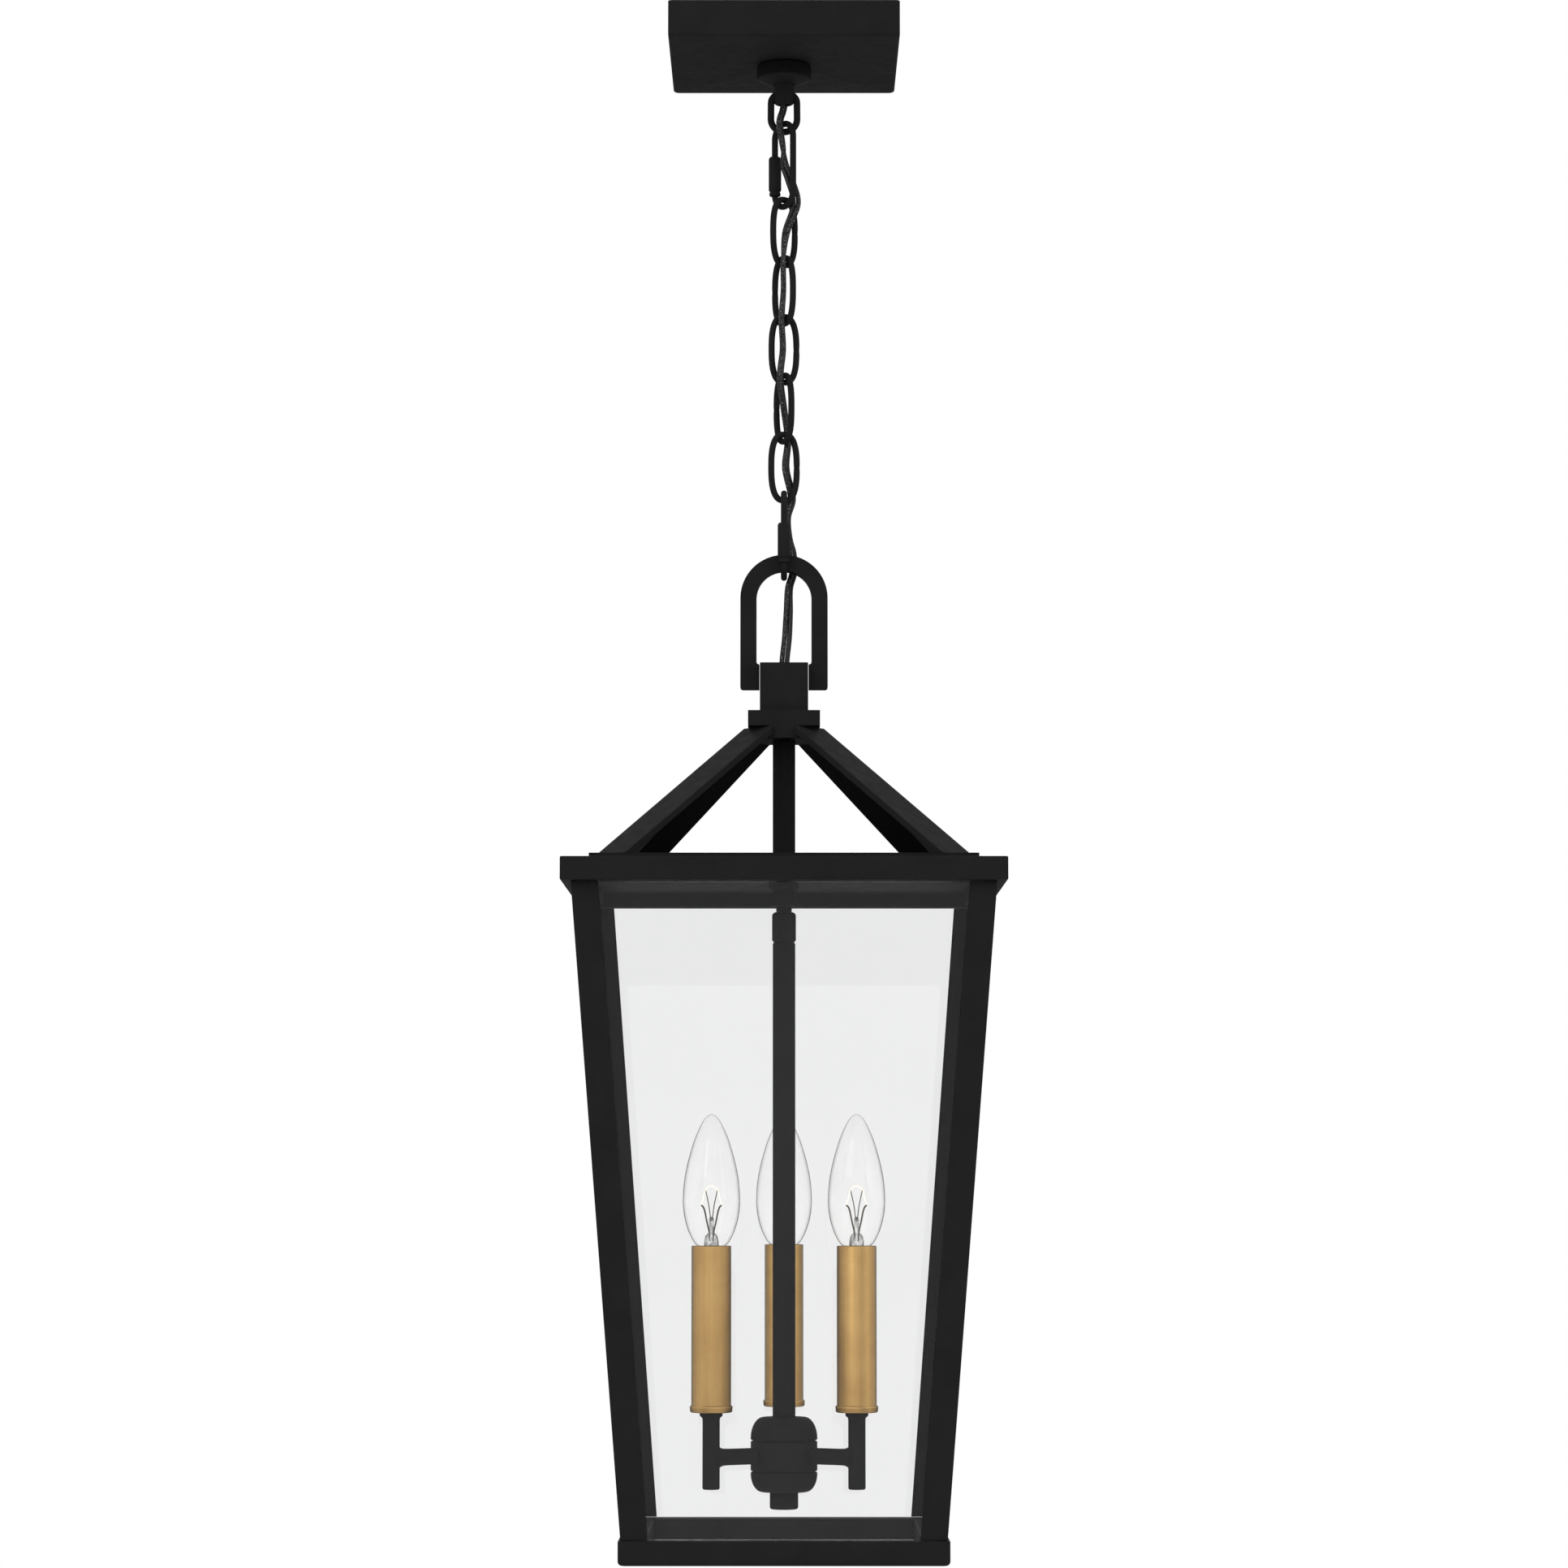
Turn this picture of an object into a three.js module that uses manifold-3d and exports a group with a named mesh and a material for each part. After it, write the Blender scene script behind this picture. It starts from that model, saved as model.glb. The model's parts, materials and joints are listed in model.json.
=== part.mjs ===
// A square, tapered hanging lantern: ceiling canopy, chain, roof frame, glass box and a three-candle cluster.
// Millimetres, +Z up. The origin is the centre of the ceiling plane, so the whole lantern hangs below z = 0.
// Front is -Y and right is +X.
import * as THREE from "three";
import { mergeVertices } from "three/addons/utils/BufferGeometryUtils.js";
import Module from "manifold-3d";

const wasm = await Module();
wasm.setup();

// ---------------------------------------------------------------- driving dimensions
const GAP = 0.3; // clearance between two pieces that touch
const ROUND_SIDES = 20; // sides of a turned piece
const WIRE_SIDES = 8; // sides of a bent wire
const BEND_STEPS = 10; // sweep steps round a half-circle bend

const CANOPY_SIDE = 137;
const CANOPY_HEIGHT = 21.5;
const CANOPY_WALL = 1.4;
const CANOPY_CORNER_R = 3;

const WIRE_R = 1.9; // wire of the chain and quick links
const LINK_LENGTH = 43.75; // outside length of a chain link
const LINK_WIDTH = 19.3;
const LINK_SEAM = 0.4; // butt gap where a bent link closes
const LINK_YAWS = [33, -46, 16, -55, 10];
const QUICK_LENGTH = 54.6;
const QUICK_WIDTH = 20.8;
const QUICK_MOUTH = 8; // opening that the sleeve nut closes
const QUICK_YAWS = { top: -50, bottom: -90 };
const NUT_R = 3.8;
const NUT_LENGTH = 20.6;

const LOOP_WIRE_R = 2.2;
const LOOP_WIDTH = 19.9;
const LOOP_BOTTOM_Z = -64.8;
const LOOP_HUB_R = 6.15;
const SLANT_GAP = 0.8; // the top quick link crosses the loop at a slant, so it needs more room

const YOKE_OUTER_R = 26.1;
const YOKE_INNER_R = 16.4;
const YOKE_DEPTH = 8;
const BLOCK_SIDE = 28.7;
const BLOCK_HEIGHT = 29;
const CAP_SIDE = 42.7;
const CAP_HEIGHT = 9.1;
const HUB_HEIGHT = 7.4; // the eight-sided boss under the cap

const ROOF_BAR = { width: 24.6, thickness: 4 };
const ROD_R = 6.7;

const TOP_RING = { side: 254, rail: 15.4, height: 13.4 };
const BOTTOM_RING = { side: 188.3, rail: 15.4, height: 14 };
const PLATE_THICKNESS = 8.1;
const PLATE_STANDS_PROUD = 3.1; // roof plate above the top ring
const POST = { leg: 15.4, wall: 2 };
const POST_TOP_HALF = 121.1; // outer half width of the four posts at the top
const POST_BOTTOM_HALF = 92.7;
const GLASS_THICKNESS = 2.5;

const STEM_R = 6.6;
const WIREWAY_R = 4.5; // bore that the supply wires run down
const CLUSTER_R = 19.6;
const CANDLE_CIRCLE_R = 49;
const CANDLE_ANGLES = { rear: 90, left: 210, right: 330 };
const ARM_R = 4.8;
const SLEEVE = { r: 11.6, wall: 1, ringR: 12.5, ringHeight: 4.2 };

const CORD_R = 1.3;
const CORD_SPACING = 3.1; // from one supply wire's centre to the other's
const CORD_STEPS = 78;

// ---------------------------------------------------------------- levels, from the ceiling down
const STRAP_THICKNESS = 2.4;
const COLLAR_TOP_Z = -CANOPY_HEIGHT - GAP;
const LOOP_BAR_Z = LOOP_BOTTOM_Z + LOOP_WIRE_R;
const LINK_DROP = LINK_LENGTH - 2 * WIRE_R; // from a link's upper bar to its lower bar, at their centres
const QUICK_DROP = QUICK_LENGTH - 2 * WIRE_R;
const BAR_REST = 2 * WIRE_R + GAP; // a bar rests this far above the bar it hangs on
const QUICK_TOP_Z = LOOP_BAR_Z + LOOP_WIRE_R + WIRE_R + SLANT_GAP;
const CHAIN_TOP_Z = QUICK_TOP_Z - QUICK_DROP + BAR_REST;
const LINK_PITCH = LINK_DROP - BAR_REST;
const QUICK_BOTTOM_Z = CHAIN_TOP_Z - LINK_YAWS.length * LINK_PITCH;
const QUICK_BEND_R = QUICK_WIDTH / 2 - 2 * WIRE_R; // inside radius of a quick link's bend
const YOKE_SADDLE_RISE = QUICK_BEND_R - Math.sqrt(QUICK_BEND_R ** 2 - (YOKE_DEPTH / 2) ** 2);
const YOKE_INNER_TOP_Z = QUICK_BOTTOM_Z - QUICK_DROP + WIRE_R + YOKE_SADDLE_RISE + GAP;
const YOKE_ARCH_Z = YOKE_INNER_TOP_Z - YOKE_INNER_R;
const BLOCK_TOP_Z = YOKE_ARCH_Z - 39.9;
const YOKE_FOOT_Z = BLOCK_TOP_Z - 14.8;
const CAP_TOP_Z = BLOCK_TOP_Z - BLOCK_HEIGHT - GAP;
const CAP_BOTTOM_Z = CAP_TOP_Z - CAP_HEIGHT;
const HUB_BOTTOM_Z = CAP_BOTTOM_Z - HUB_HEIGHT;
const PLATE_TOP_Z = -508.2;
const PLATE_BOTTOM_Z = PLATE_TOP_Z - PLATE_THICKNESS;
const RING_TOP_Z = PLATE_TOP_Z - PLATE_STANDS_PROUD;
const RING_BOTTOM_Z = RING_TOP_Z - TOP_RING.height;
const FOOT_TOP_Z = -897.4;
const FOOT_BOTTOM_Z = FOOT_TOP_Z - BOTTOM_RING.height;
const POST_TOP_Z = RING_BOTTOM_Z - GAP;
const POST_BOTTOM_Z = FOOT_TOP_Z + GAP;
const STEM_SLEEVE = { top: -535.1, bottom: -553.4 };
const CLUSTER = { top: -832.4, upperSeam: -846.2, lowerSeam: -863.9, bottom: -875.9 };
const ARM_Z = -854.6;
const CANDLE = { foot: -873, ring: -828.6, sleeveTop: -732, bulbTip: -655.3 };

// ---------------------------------------------------------------- materials
const black = new THREE.MeshStandardMaterial({ color: 0x232323, roughness: 0.55, metalness: 0.3 });
const brass = new THREE.MeshStandardMaterial({ color: 0xb98e55, roughness: 0.35, metalness: 1 });
const zinc = new THREE.MeshStandardMaterial({ color: 0xb9bbb8, roughness: 0.4, metalness: 0.9 });
const green = new THREE.MeshStandardMaterial({ color: 0x2f7a3d, roughness: 0.5, metalness: 0.6 });
const phenolic = new THREE.MeshStandardMaterial({ color: 0x2b2622, roughness: 0.5, metalness: 0 });
const vinyl = new THREE.MeshStandardMaterial({ color: 0x151515, roughness: 0.45, metalness: 0 });
const glass = new THREE.MeshStandardMaterial({
  color: 0xeef2f2,
  roughness: 0.03,
  metalness: 0,
  transparent: true,
  opacity: 0.25,
});

// ---------------------------------------------------------------- shared shape helpers
const degrees = THREE.MathUtils.degToRad;

// A named sub-part, placed by its position and its turn about Z.
function part(name, geometry, material, z = 0, turn = 0) {
  const mesh = new THREE.Mesh(geometry, material);
  mesh.name = name;
  mesh.position.z = z;
  mesh.rotation.z = degrees(turn);
  return mesh;
}

function solidOf(geometry) {
  const bare = geometry.clone();
  bare.deleteAttribute("normal");
  bare.deleteAttribute("uv");
  const merged = mergeVertices(bare, 1e-3);
  const mesh = new wasm.Mesh({
    numProp: 3,
    vertProperties: new Float32Array(merged.attributes.position.array),
    triVerts: new Uint32Array(merged.index.array),
  });
  return new wasm.Manifold(mesh);
}

function geometryOf(solid) {
  const mesh = solid.getMesh();
  const geometry = new THREE.BufferGeometry();
  geometry.setAttribute("position", new THREE.BufferAttribute(mesh.vertProperties, mesh.numProp));
  geometry.setIndex(new THREE.BufferAttribute(mesh.triVerts, 1));
  const faceted = geometry.toNonIndexed();
  faceted.computeVertexNormals();
  return faceted;
}

function join(...geometries) {
  return geometryOf(geometries.map(solidOf).reduce((all, next) => all.add(next)));
}

function cut(geometry, ...tools) {
  return geometryOf(tools.map(solidOf).reduce((left, tool) => left.subtract(tool), solidOf(geometry)));
}

// A turned piece about Z. The profile is [radius, z] pairs that climb the outside; a hollow one comes
// back down its bore and is closed on its first point.
function turned(profile, { hollow = false, sides = ROUND_SIDES } = {}) {
  const points = profile.map(([radius, z]) => new THREE.Vector2(radius, z));
  if (hollow) points.push(points[0].clone());
  return new THREE.LatheGeometry(points, sides).rotateX(Math.PI / 2);
}

// A plain tube about Z.
function tube(outerR, innerR, bottomZ, topZ, sides = ROUND_SIDES) {
  const walls = [
    [innerR, bottomZ],
    [outerR, bottomZ],
    [outerR, topZ],
    [innerR, topZ],
  ];
  return turned(walls, { hollow: true, sides });
}

function rod(radius, bottomZ, topZ, sides = ROUND_SIDES) {
  return turned([[0, bottomZ], [radius, bottomZ], [radius, topZ], [0, topZ]], { sides });
}

// Points of an arc in a profile, from one angle to another in degrees, the ends included.
function arc(centreX, centreY, radiusX, radiusY, from, to, steps) {
  return Array.from({ length: steps + 1 }, (_, i) => {
    const angle = degrees(from + ((to - from) * i) / steps);
    return [centreX + radiusX * Math.cos(angle), centreY + radiusY * Math.sin(angle)];
  });
}

function shapeOf(points) {
  return new THREE.Shape(points.map(([x, y]) => new THREE.Vector2(x, y)));
}

// A flat outline in XY, thickened up from bottomZ to topZ.
function prism(points, bottomZ, topZ) {
  const geometry = new THREE.ExtrudeGeometry(shapeOf(points), { depth: topZ - bottomZ, bevelEnabled: false });
  return geometry.translate(0, 0, bottomZ);
}

// A flat outline in XZ, thickened along Y from frontY to backY.
function slab(points, frontY, backY) {
  const geometry = new THREE.ExtrudeGeometry(shapeOf(points), { depth: backY - frontY, bevelEnabled: false });
  return geometry.rotateX(Math.PI / 2).translate(0, backY, 0);
}

function squareOutline(side, cornerR = 0, cornerSteps = 4) {
  const reach = side / 2 - cornerR;
  const corners = [[1, 1, 0], [-1, 1, 90], [-1, -1, 180], [1, -1, 270]];
  return corners.flatMap(([signX, signY, start]) =>
    cornerR
      ? arc(signX * reach, signY * reach, cornerR, cornerR, start, start + 90, cornerSteps)
      : [[signX * reach, signY * reach]],
  );
}

function circleOutline(radius, sides) {
  return arc(0, 0, radius, radius, 0, 360 - 360 / sides, sides - 1);
}

// A path that runs straight from stop to stop.
class StopPath extends THREE.Curve {
  constructor(stops) {
    super();
    this.stops = stops;
  }

  getPoint(t, target = new THREE.Vector3()) {
    const place = t * (this.stops.length - 1);
    const i = Math.min(Math.floor(place), this.stops.length - 2);
    return target.lerpVectors(this.stops[i], this.stops[i + 1], place - i);
  }

  // Each stretch takes one step of the sweep, however long it is.
  getUtoTmapping(u) {
    return u;
  }
}

// A round wire swept through its stops.
function wire(stops, radius) {
  const section = shapeOf(circleOutline(radius, WIRE_SIDES));
  const sweep = { steps: stops.length - 1, bevelEnabled: false, extrudePath: new StopPath(stops) };
  return new THREE.ExtrudeGeometry(section, sweep);
}

const inFrontPlane = ([x, z]) => new THREE.Vector3(x, 0, z);

// The stops of an oval loop in XZ that hangs from z = 0 at its upper bar. It starts below its seam on the
// right leg, runs round the bottom and the top, and ends above the seam.
function ovalLoop(width, drop, seamZ, seam) {
  const bend = width / 2;
  const bottom = arc(0, bend - drop, bend, bend, 0, -180, BEND_STEPS);
  const top = arc(0, -bend, bend, bend, 180, 0, BEND_STEPS);
  return [[bend, seamZ - seam / 2], ...bottom, ...top, [bend, seamZ + seam / 2]].map(inFrontPlane);
}

// The stops of a chain link in XZ, hung the same way: an oval with flattened sides that narrows to its ends.
function linkLoop(width, drop, seam) {
  const fullness = 0.76; // 1 would be an ellipse
  const steps = 28;
  const bow = (value) => Math.sign(value) * Math.abs(value) ** fullness;
  const start = Math.asin((seam / drop) ** (1 / fullness));
  const stops = [];
  for (let i = 0; i <= steps; i += 1) {
    const angle = -start - (2 * Math.PI - 2 * start) * (i / steps);
    stops.push([(width / 2) * bow(Math.cos(angle)), (drop / 2) * (bow(Math.sin(angle)) - 1)]);
  }
  return stops.map(inFrontPlane);
}

// ---------------------------------------------------------------- ceiling end
const NIPPLE = { outerR: 4.8, boreR: 3.3, top: -GAP, bottom: -36 };

function mountingStrap() {
  const length = 105;
  const width = 18;
  const slot = [[26, -2.2], [40, -2.2], [40, 2.2], [26, 2.2]];
  const strap = prism([[-length / 2, -width / 2], [length / 2, -width / 2], [length / 2, width / 2],
    [-length / 2, width / 2]], -STRAP_THICKNESS, 0);
  const below = -STRAP_THICKNESS - 1;
  const slots = [1, -1].map((side) => prism(slot, below, 1).rotateZ(side > 0 ? 0 : Math.PI));
  const groundHole = rod(2.2, below, 1, 12).translate(-18, 0, 0);
  return cut(strap, rod(NIPPLE.outerR + GAP, below, 1), groundHole, ...slots);
}

function hexNut(acrossFlats, bore, bottomZ, topZ) {
  const outline = circleOutline(acrossFlats / 2 / Math.cos(Math.PI / 6), 6);
  return cut(prism(outline, bottomZ, topZ), rod(bore, bottomZ - 1, topZ + 1));
}

function groundScrew() {
  const headTop = -STRAP_THICKNESS - GAP;
  const screw = [[0, headTop - 2.4], ...arc(1.4, headTop - 1, 2.6, 1.4, -90, 0, 4), [4, headTop],
    [1.9, headTop], [1.9, -GAP], [0, -GAP]];
  return turned(screw, { sides: 12 }).translate(-18, 0, 0);
}

function canopyPan() {
  const inner = CANOPY_SIDE - 2 * CANOPY_WALL;
  const floorZ = -CANOPY_HEIGHT + CANOPY_WALL;
  return cut(
    prism(squareOutline(CANOPY_SIDE, CANOPY_CORNER_R), -CANOPY_HEIGHT, 0),
    prism(squareOutline(inner, CANOPY_CORNER_R - CANOPY_WALL), floorZ, 1),
    rod(LOOP_HUB_R + GAP, -CANOPY_HEIGHT - 1, 0),
  );
}

function screwCollar() {
  const ring = COLLAR_TOP_Z - 9;
  const bore = LOOP_HUB_R + GAP;
  const profile = [[bore, ring - 2.8], [7.4, ring - 2.8], [14.8, ring], [16.5, ring + 1], [16.5, COLLAR_TOP_Z - 1],
    [15.5, COLLAR_TOP_Z], [bore, COLLAR_TOP_Z]];
  return turned(profile, { hollow: true });
}

function canopyLoop() {
  const hubBottom = -46;
  const hub = rod(LOOP_HUB_R, hubBottom, -12);
  const bend = LOOP_WIDTH / 2 - LOOP_WIRE_R;
  const splay = 3; // how far each leg spreads as it leaves the hub
  const rootZ = -39.5; // clear of the lowered collar
  const root = [bend - splay, rootZ];
  const knee = [bend, rootZ - splay];
  const bottom = arc(0, LOOP_BAR_Z + bend, bend, bend, 0, -180, BEND_STEPS);
  const mirrored = ([x, z]) => [-x, z];
  const stops = [root, knee, ...bottom, mirrored(knee), mirrored(root)].map(inFrontPlane);
  return cut(join(hub, wire(stops, LOOP_WIRE_R)),
    rod(NIPPLE.outerR + GAP, NIPPLE.bottom - GAP, 0),
    rod(NIPPLE.boreR, hubBottom - 1, 0));
}

// ---------------------------------------------------------------- chain
const QUICK_NUT = { bottom: -39.6, seat: 3.4 }; // below the quick link's upper bar

function quickLink() {
  const mouthZ = QUICK_NUT.bottom + 4.6;
  return wire(ovalLoop(QUICK_WIDTH - 2 * WIRE_R, QUICK_DROP, mouthZ, QUICK_MOUTH), WIRE_R);
}

// The long sleeve nut that closes a quick link's mouth, with its turned lower lip.
function quickNut() {
  const bore = WIRE_R + GAP;
  const bottom = QUICK_NUT.bottom;
  const lip = bottom - QUICK_NUT.seat;
  const profile = [[bore, lip], [3.4, lip], [3.4, bottom - 1], [NUT_R - 0.7, bottom - 0.6], [NUT_R, bottom],
    [NUT_R, bottom + NUT_LENGTH - 0.8], [NUT_R - 0.8, bottom + NUT_LENGTH], [bore, bottom + NUT_LENGTH]];
  return turned(profile, { hollow: true, sides: 16 }).translate(QUICK_WIDTH / 2 - WIRE_R, 0, 0);
}

function chainLink() {
  return wire(linkLoop(LINK_WIDTH - 2 * WIRE_R, LINK_DROP, LINK_SEAM), WIRE_R);
}

// The two supply wires run down inside the chain. Each stop is [z, angle about Z, distance from the axis]
// of the inner wire; the outer one lies one wire farther out. They change sides at every link.
const JOINT_Z = (link) => CHAIN_TOP_Z - link * LINK_PITCH - BAR_REST / 2;
const MIDDLE = -CORD_SPACING / 2; // puts the pair evenly about the axis, for the bores
const CORD_STOPS = [
  [-2, -115, MIDDLE],
  [-44, -115, MIDDLE],
  [-47, -115, -1.3],
  [-51, -115, 0.6],
  [QUICK_TOP_Z + 2, -115, 3.7],
  [QUICK_TOP_Z - BAR_REST / 2, -115, 4.5],
  [QUICK_TOP_Z - 16, -100, 1.5],
  [QUICK_TOP_Z - QUICK_DROP / 2, -45, -1],
  [CHAIN_TOP_Z + 12, -12, 2.2],
  [JOINT_Z(0), -8.5, 5.7],
  [JOINT_Z(0.5), -50, 0.6],
  [JOINT_Z(1), -93.5, 4.7],
  [JOINT_Z(1.5), -98, 0.8],
  [JOINT_Z(2), -104, 4.3],
  [JOINT_Z(2.5), -107, 0.8],
  [JOINT_Z(3), -111.5, 4.6],
  [JOINT_Z(3.5), -112, -1.4],
  [JOINT_Z(4), -112.5, -7.7],
  [JOINT_Z(4.5), -122, -3.6],
  [JOINT_Z(5), -130, -8.9],
  [QUICK_BOTTOM_Z - 14, -120, -5.6],
  [QUICK_BOTTOM_Z - 27, -120, -7.8],
  [YOKE_INNER_TOP_Z + 12, -127, -10.2],
  [YOKE_INNER_TOP_Z, -127, -10.6],
  [YOKE_INNER_TOP_Z - 9, -128, -6.6],
  [YOKE_ARCH_Z - 8, -150, -4.5],
  [YOKE_ARCH_Z - 24, -170, -3.3],
  [BLOCK_TOP_Z + 3, -180, -1.9],
  [BLOCK_TOP_Z - 8, -180, MIDDLE],
  [-480, -180, MIDDLE],
  [-620, -180, MIDDLE],
  [-740, -180, MIDDLE],
  [-856, -180, MIDDLE],
];

function supplyWire(outward) {
  const points = CORD_STOPS.map(([z, angle, distance]) => {
    const radius = distance + outward;
    return new THREE.Vector3(radius * Math.cos(degrees(angle)), radius * Math.sin(degrees(angle)), z);
  });
  return wire(new THREE.CatmullRomCurve3(points, false, "centripetal").getPoints(CORD_STEPS), CORD_R);
}

// ---------------------------------------------------------------- yoke and roof
// A flat inverted U whose feet step in to meet the block.
function yoke() {
  const feet = BLOCK_SIDE / 2 + GAP;
  const footR = 1.5;
  const outline = [
    [feet, YOKE_FOOT_Z],
    ...arc(YOKE_OUTER_R - footR, YOKE_FOOT_Z + footR, footR, footR, -90, 0, 3),
    ...arc(0, YOKE_ARCH_Z, YOKE_OUTER_R, YOKE_OUTER_R, 0, 180, 24),
    ...arc(-YOKE_OUTER_R + footR, YOKE_FOOT_Z + footR, footR, footR, 180, 270, 3),
    [-feet, YOKE_FOOT_Z],
    [-feet, BLOCK_TOP_Z],
    ...arc(footR - YOKE_INNER_R, BLOCK_TOP_Z + footR, footR, footR, 270, 180, 3),
    ...arc(0, YOKE_ARCH_Z, YOKE_INNER_R, YOKE_INNER_R, 180, 0, 20),
    ...arc(YOKE_INNER_R - footR, BLOCK_TOP_Z + footR, footR, footR, 0, -90, 3),
    [feet, BLOCK_TOP_Z],
  ];
  return slab(outline, -YOKE_DEPTH / 2, YOKE_DEPTH / 2);
}

function yokeBlock() {
  const bottomZ = BLOCK_TOP_Z - BLOCK_HEIGHT;
  return cut(prism(squareOutline(BLOCK_SIDE, 1.3, 3), bottomZ, BLOCK_TOP_Z), rod(WIREWAY_R, bottomZ - 1, 0));
}

// The square cap with the eight-sided boss that the four roof bars butt against.
const BOSS_FACE = 8.6; // half of the boss's straight front face

function roofHub() {
  const half = CAP_SIDE / 2;
  const quarter = [[half, -BOSS_FACE], [half, BOSS_FACE]];
  const boss = [0, 90, 180, 270].flatMap((turn) => quarter.map(([x, y]) => {
    const point = new THREE.Vector2(x, y).rotateAround(new THREE.Vector2(), degrees(turn));
    return [point.x, point.y];
  }));
  const body = join(prism(squareOutline(CAP_SIDE), CAP_BOTTOM_Z, CAP_TOP_Z),
    prism(boss, HUB_BOTTOM_Z, CAP_BOTTOM_Z + 1));
  return cut(body, rod(WIREWAY_R, HUB_BOTTOM_Z - 1, 0));
}

// A flat bar that runs down the diagonal from the boss to the roof plate, built along +X.
function roofBar() {
  const topZ = CAP_BOTTOM_Z - GAP;
  const footZ = PLATE_TOP_Z + GAP;
  const start = (CAP_SIDE / 2 + BOSS_FACE) / Math.SQRT2 + GAP;
  const foot = 140.6;
  const slope = Math.atan2(topZ - footZ, foot - start);
  const heightThere = ROOF_BAR.thickness / Math.cos(slope);
  const lengthThere = ROOF_BAR.thickness / Math.sin(slope);
  const side = [[start, topZ], [start, topZ - heightThere], [foot - lengthThere, footZ], [foot, footZ]];
  return slab(side, -ROOF_BAR.width / 2, ROOF_BAR.width / 2);
}

function roofPlate() {
  const side = TOP_RING.side - 2 * TOP_RING.rail - 2 * GAP;
  return cut(prism(squareOutline(side), PLATE_BOTTOM_Z, PLATE_TOP_Z), rod(WIREWAY_R, PLATE_BOTTOM_Z - 1, 0));
}

// ---------------------------------------------------------------- frame and glass
function squareRing({ side, rail, height }, topZ, cornerR = 0) {
  const inner = side - 2 * rail;
  return cut(prism(squareOutline(side, cornerR), topZ - height, topZ),
    prism(squareOutline(inner), topZ - height - 1, topZ + 1));
}

const LEAN = (POST_TOP_HALF - POST_BOTTOM_HALF) / (POST_TOP_Z - POST_BOTTOM_Z); // outward per millimetre up

// An angle-iron corner post for the +X +Y corner, leaning out towards the top.
function cornerPost() {
  const { leg, wall } = POST;
  const angle = [[0, 0], [-leg, 0], [-leg, -wall], [-wall, -wall], [-wall, -leg], [0, -leg]];
  const geometry = prism(angle, POST_BOTTOM_Z - POST_TOP_Z, 0);
  geometry.applyMatrix4(new THREE.Matrix4().makeShear(0, 0, 0, 0, LEAN, LEAN));
  return geometry.translate(POST_TOP_HALF, POST_TOP_HALF, POST_TOP_Z);
}

// A pane for the +Y side. One edge laps the next pane's end, so the four close the box like a pinwheel.
function glassPane() {
  const topZ = POST_TOP_Z - GAP;
  const drop = topZ - POST_BOTTOM_Z - GAP;
  const face = POST_TOP_HALF - POST.wall - GAP;
  const lap = GLASS_THICKNESS + GAP;
  const outline = [[-face + lap, 0], [-face + lap + LEAN * drop, -drop], [face - LEAN * drop, -drop], [face, 0]];
  const geometry = slab(outline, -GLASS_THICKNESS, 0);
  geometry.applyMatrix4(new THREE.Matrix4().makeShear(0, 0, 0, 0, 0, LEAN));
  return geometry.translate(0, face, topZ);
}

// A round-head screw on the inner face of the bottom ring's rear rail, pointing forwards.
function railScrew(x) {
  const head = [[0, 0], [3, 0], ...arc(0, 0.5, 3, 1.9, 0, 90, 4)];
  const railFace = BOTTOM_RING.side / 2 - BOTTOM_RING.rail - GAP;
  return turned(head, { sides: 12 }).rotateX(Math.PI / 2).translate(x, railFace, FOOT_TOP_Z - 8);
}

// ---------------------------------------------------------------- centre stem and candle cluster
function coupling() {
  const top = PLATE_BOTTOM_Z - 5.1 - 2 * GAP;
  const bottom = -531.7;
  const neckR = 4.5;
  const bore = 3.2;
  const neckBottom = STEM_SLEEVE.top + GAP;
  return turned([[bore, neckBottom], [neckR, neckBottom], [neckR, bottom], [7.4, bottom], [7.4, top - 1.2],
    [6.4, top], [bore, top]], { hollow: true });
}

function stemSleeve() {
  const { top, bottom } = STEM_SLEEVE;
  const r = 7.1;
  return turned([[WIREWAY_R, bottom], [r - 0.4, bottom], [r, bottom + 0.6], ...arc(r - 2.4, top - 2.4, 2.4, 2.4, 0, 90, 4),
    [3.6, top], [3.6, top - 1.5], [WIREWAY_R, top - 1.5]], { hollow: true });
}

function clusterCapTop() {
  const { top, upperSeam } = CLUSTER;
  const flatR = 11.8;
  const dome = arc(flatR, upperSeam + GAP, CLUSTER_R - flatR, top - upperSeam - GAP, 0, 90, 6);
  return turned([[WIREWAY_R, upperSeam + GAP], ...dome, [WIREWAY_R, top]], { hollow: true });
}

function clusterCapBottom() {
  const { lowerSeam, bottom } = CLUSTER;
  const flatR = 12.6;
  const dome = arc(flatR, lowerSeam - GAP, CLUSTER_R - flatR, lowerSeam - GAP - bottom, -90, 0, 6);
  return turned([[2.2, bottom], ...dome, [2.2, lowerSeam - GAP]], { hollow: true });
}

function finial() {
  const top = CLUSTER.bottom - GAP;
  const r = 8.35;
  return turned([[0, top - 9.8], ...arc(r - 1.2, top - 8.6, 1.2, 1.2, -90, 0, 3), [r, top], [0, top]]);
}

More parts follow.
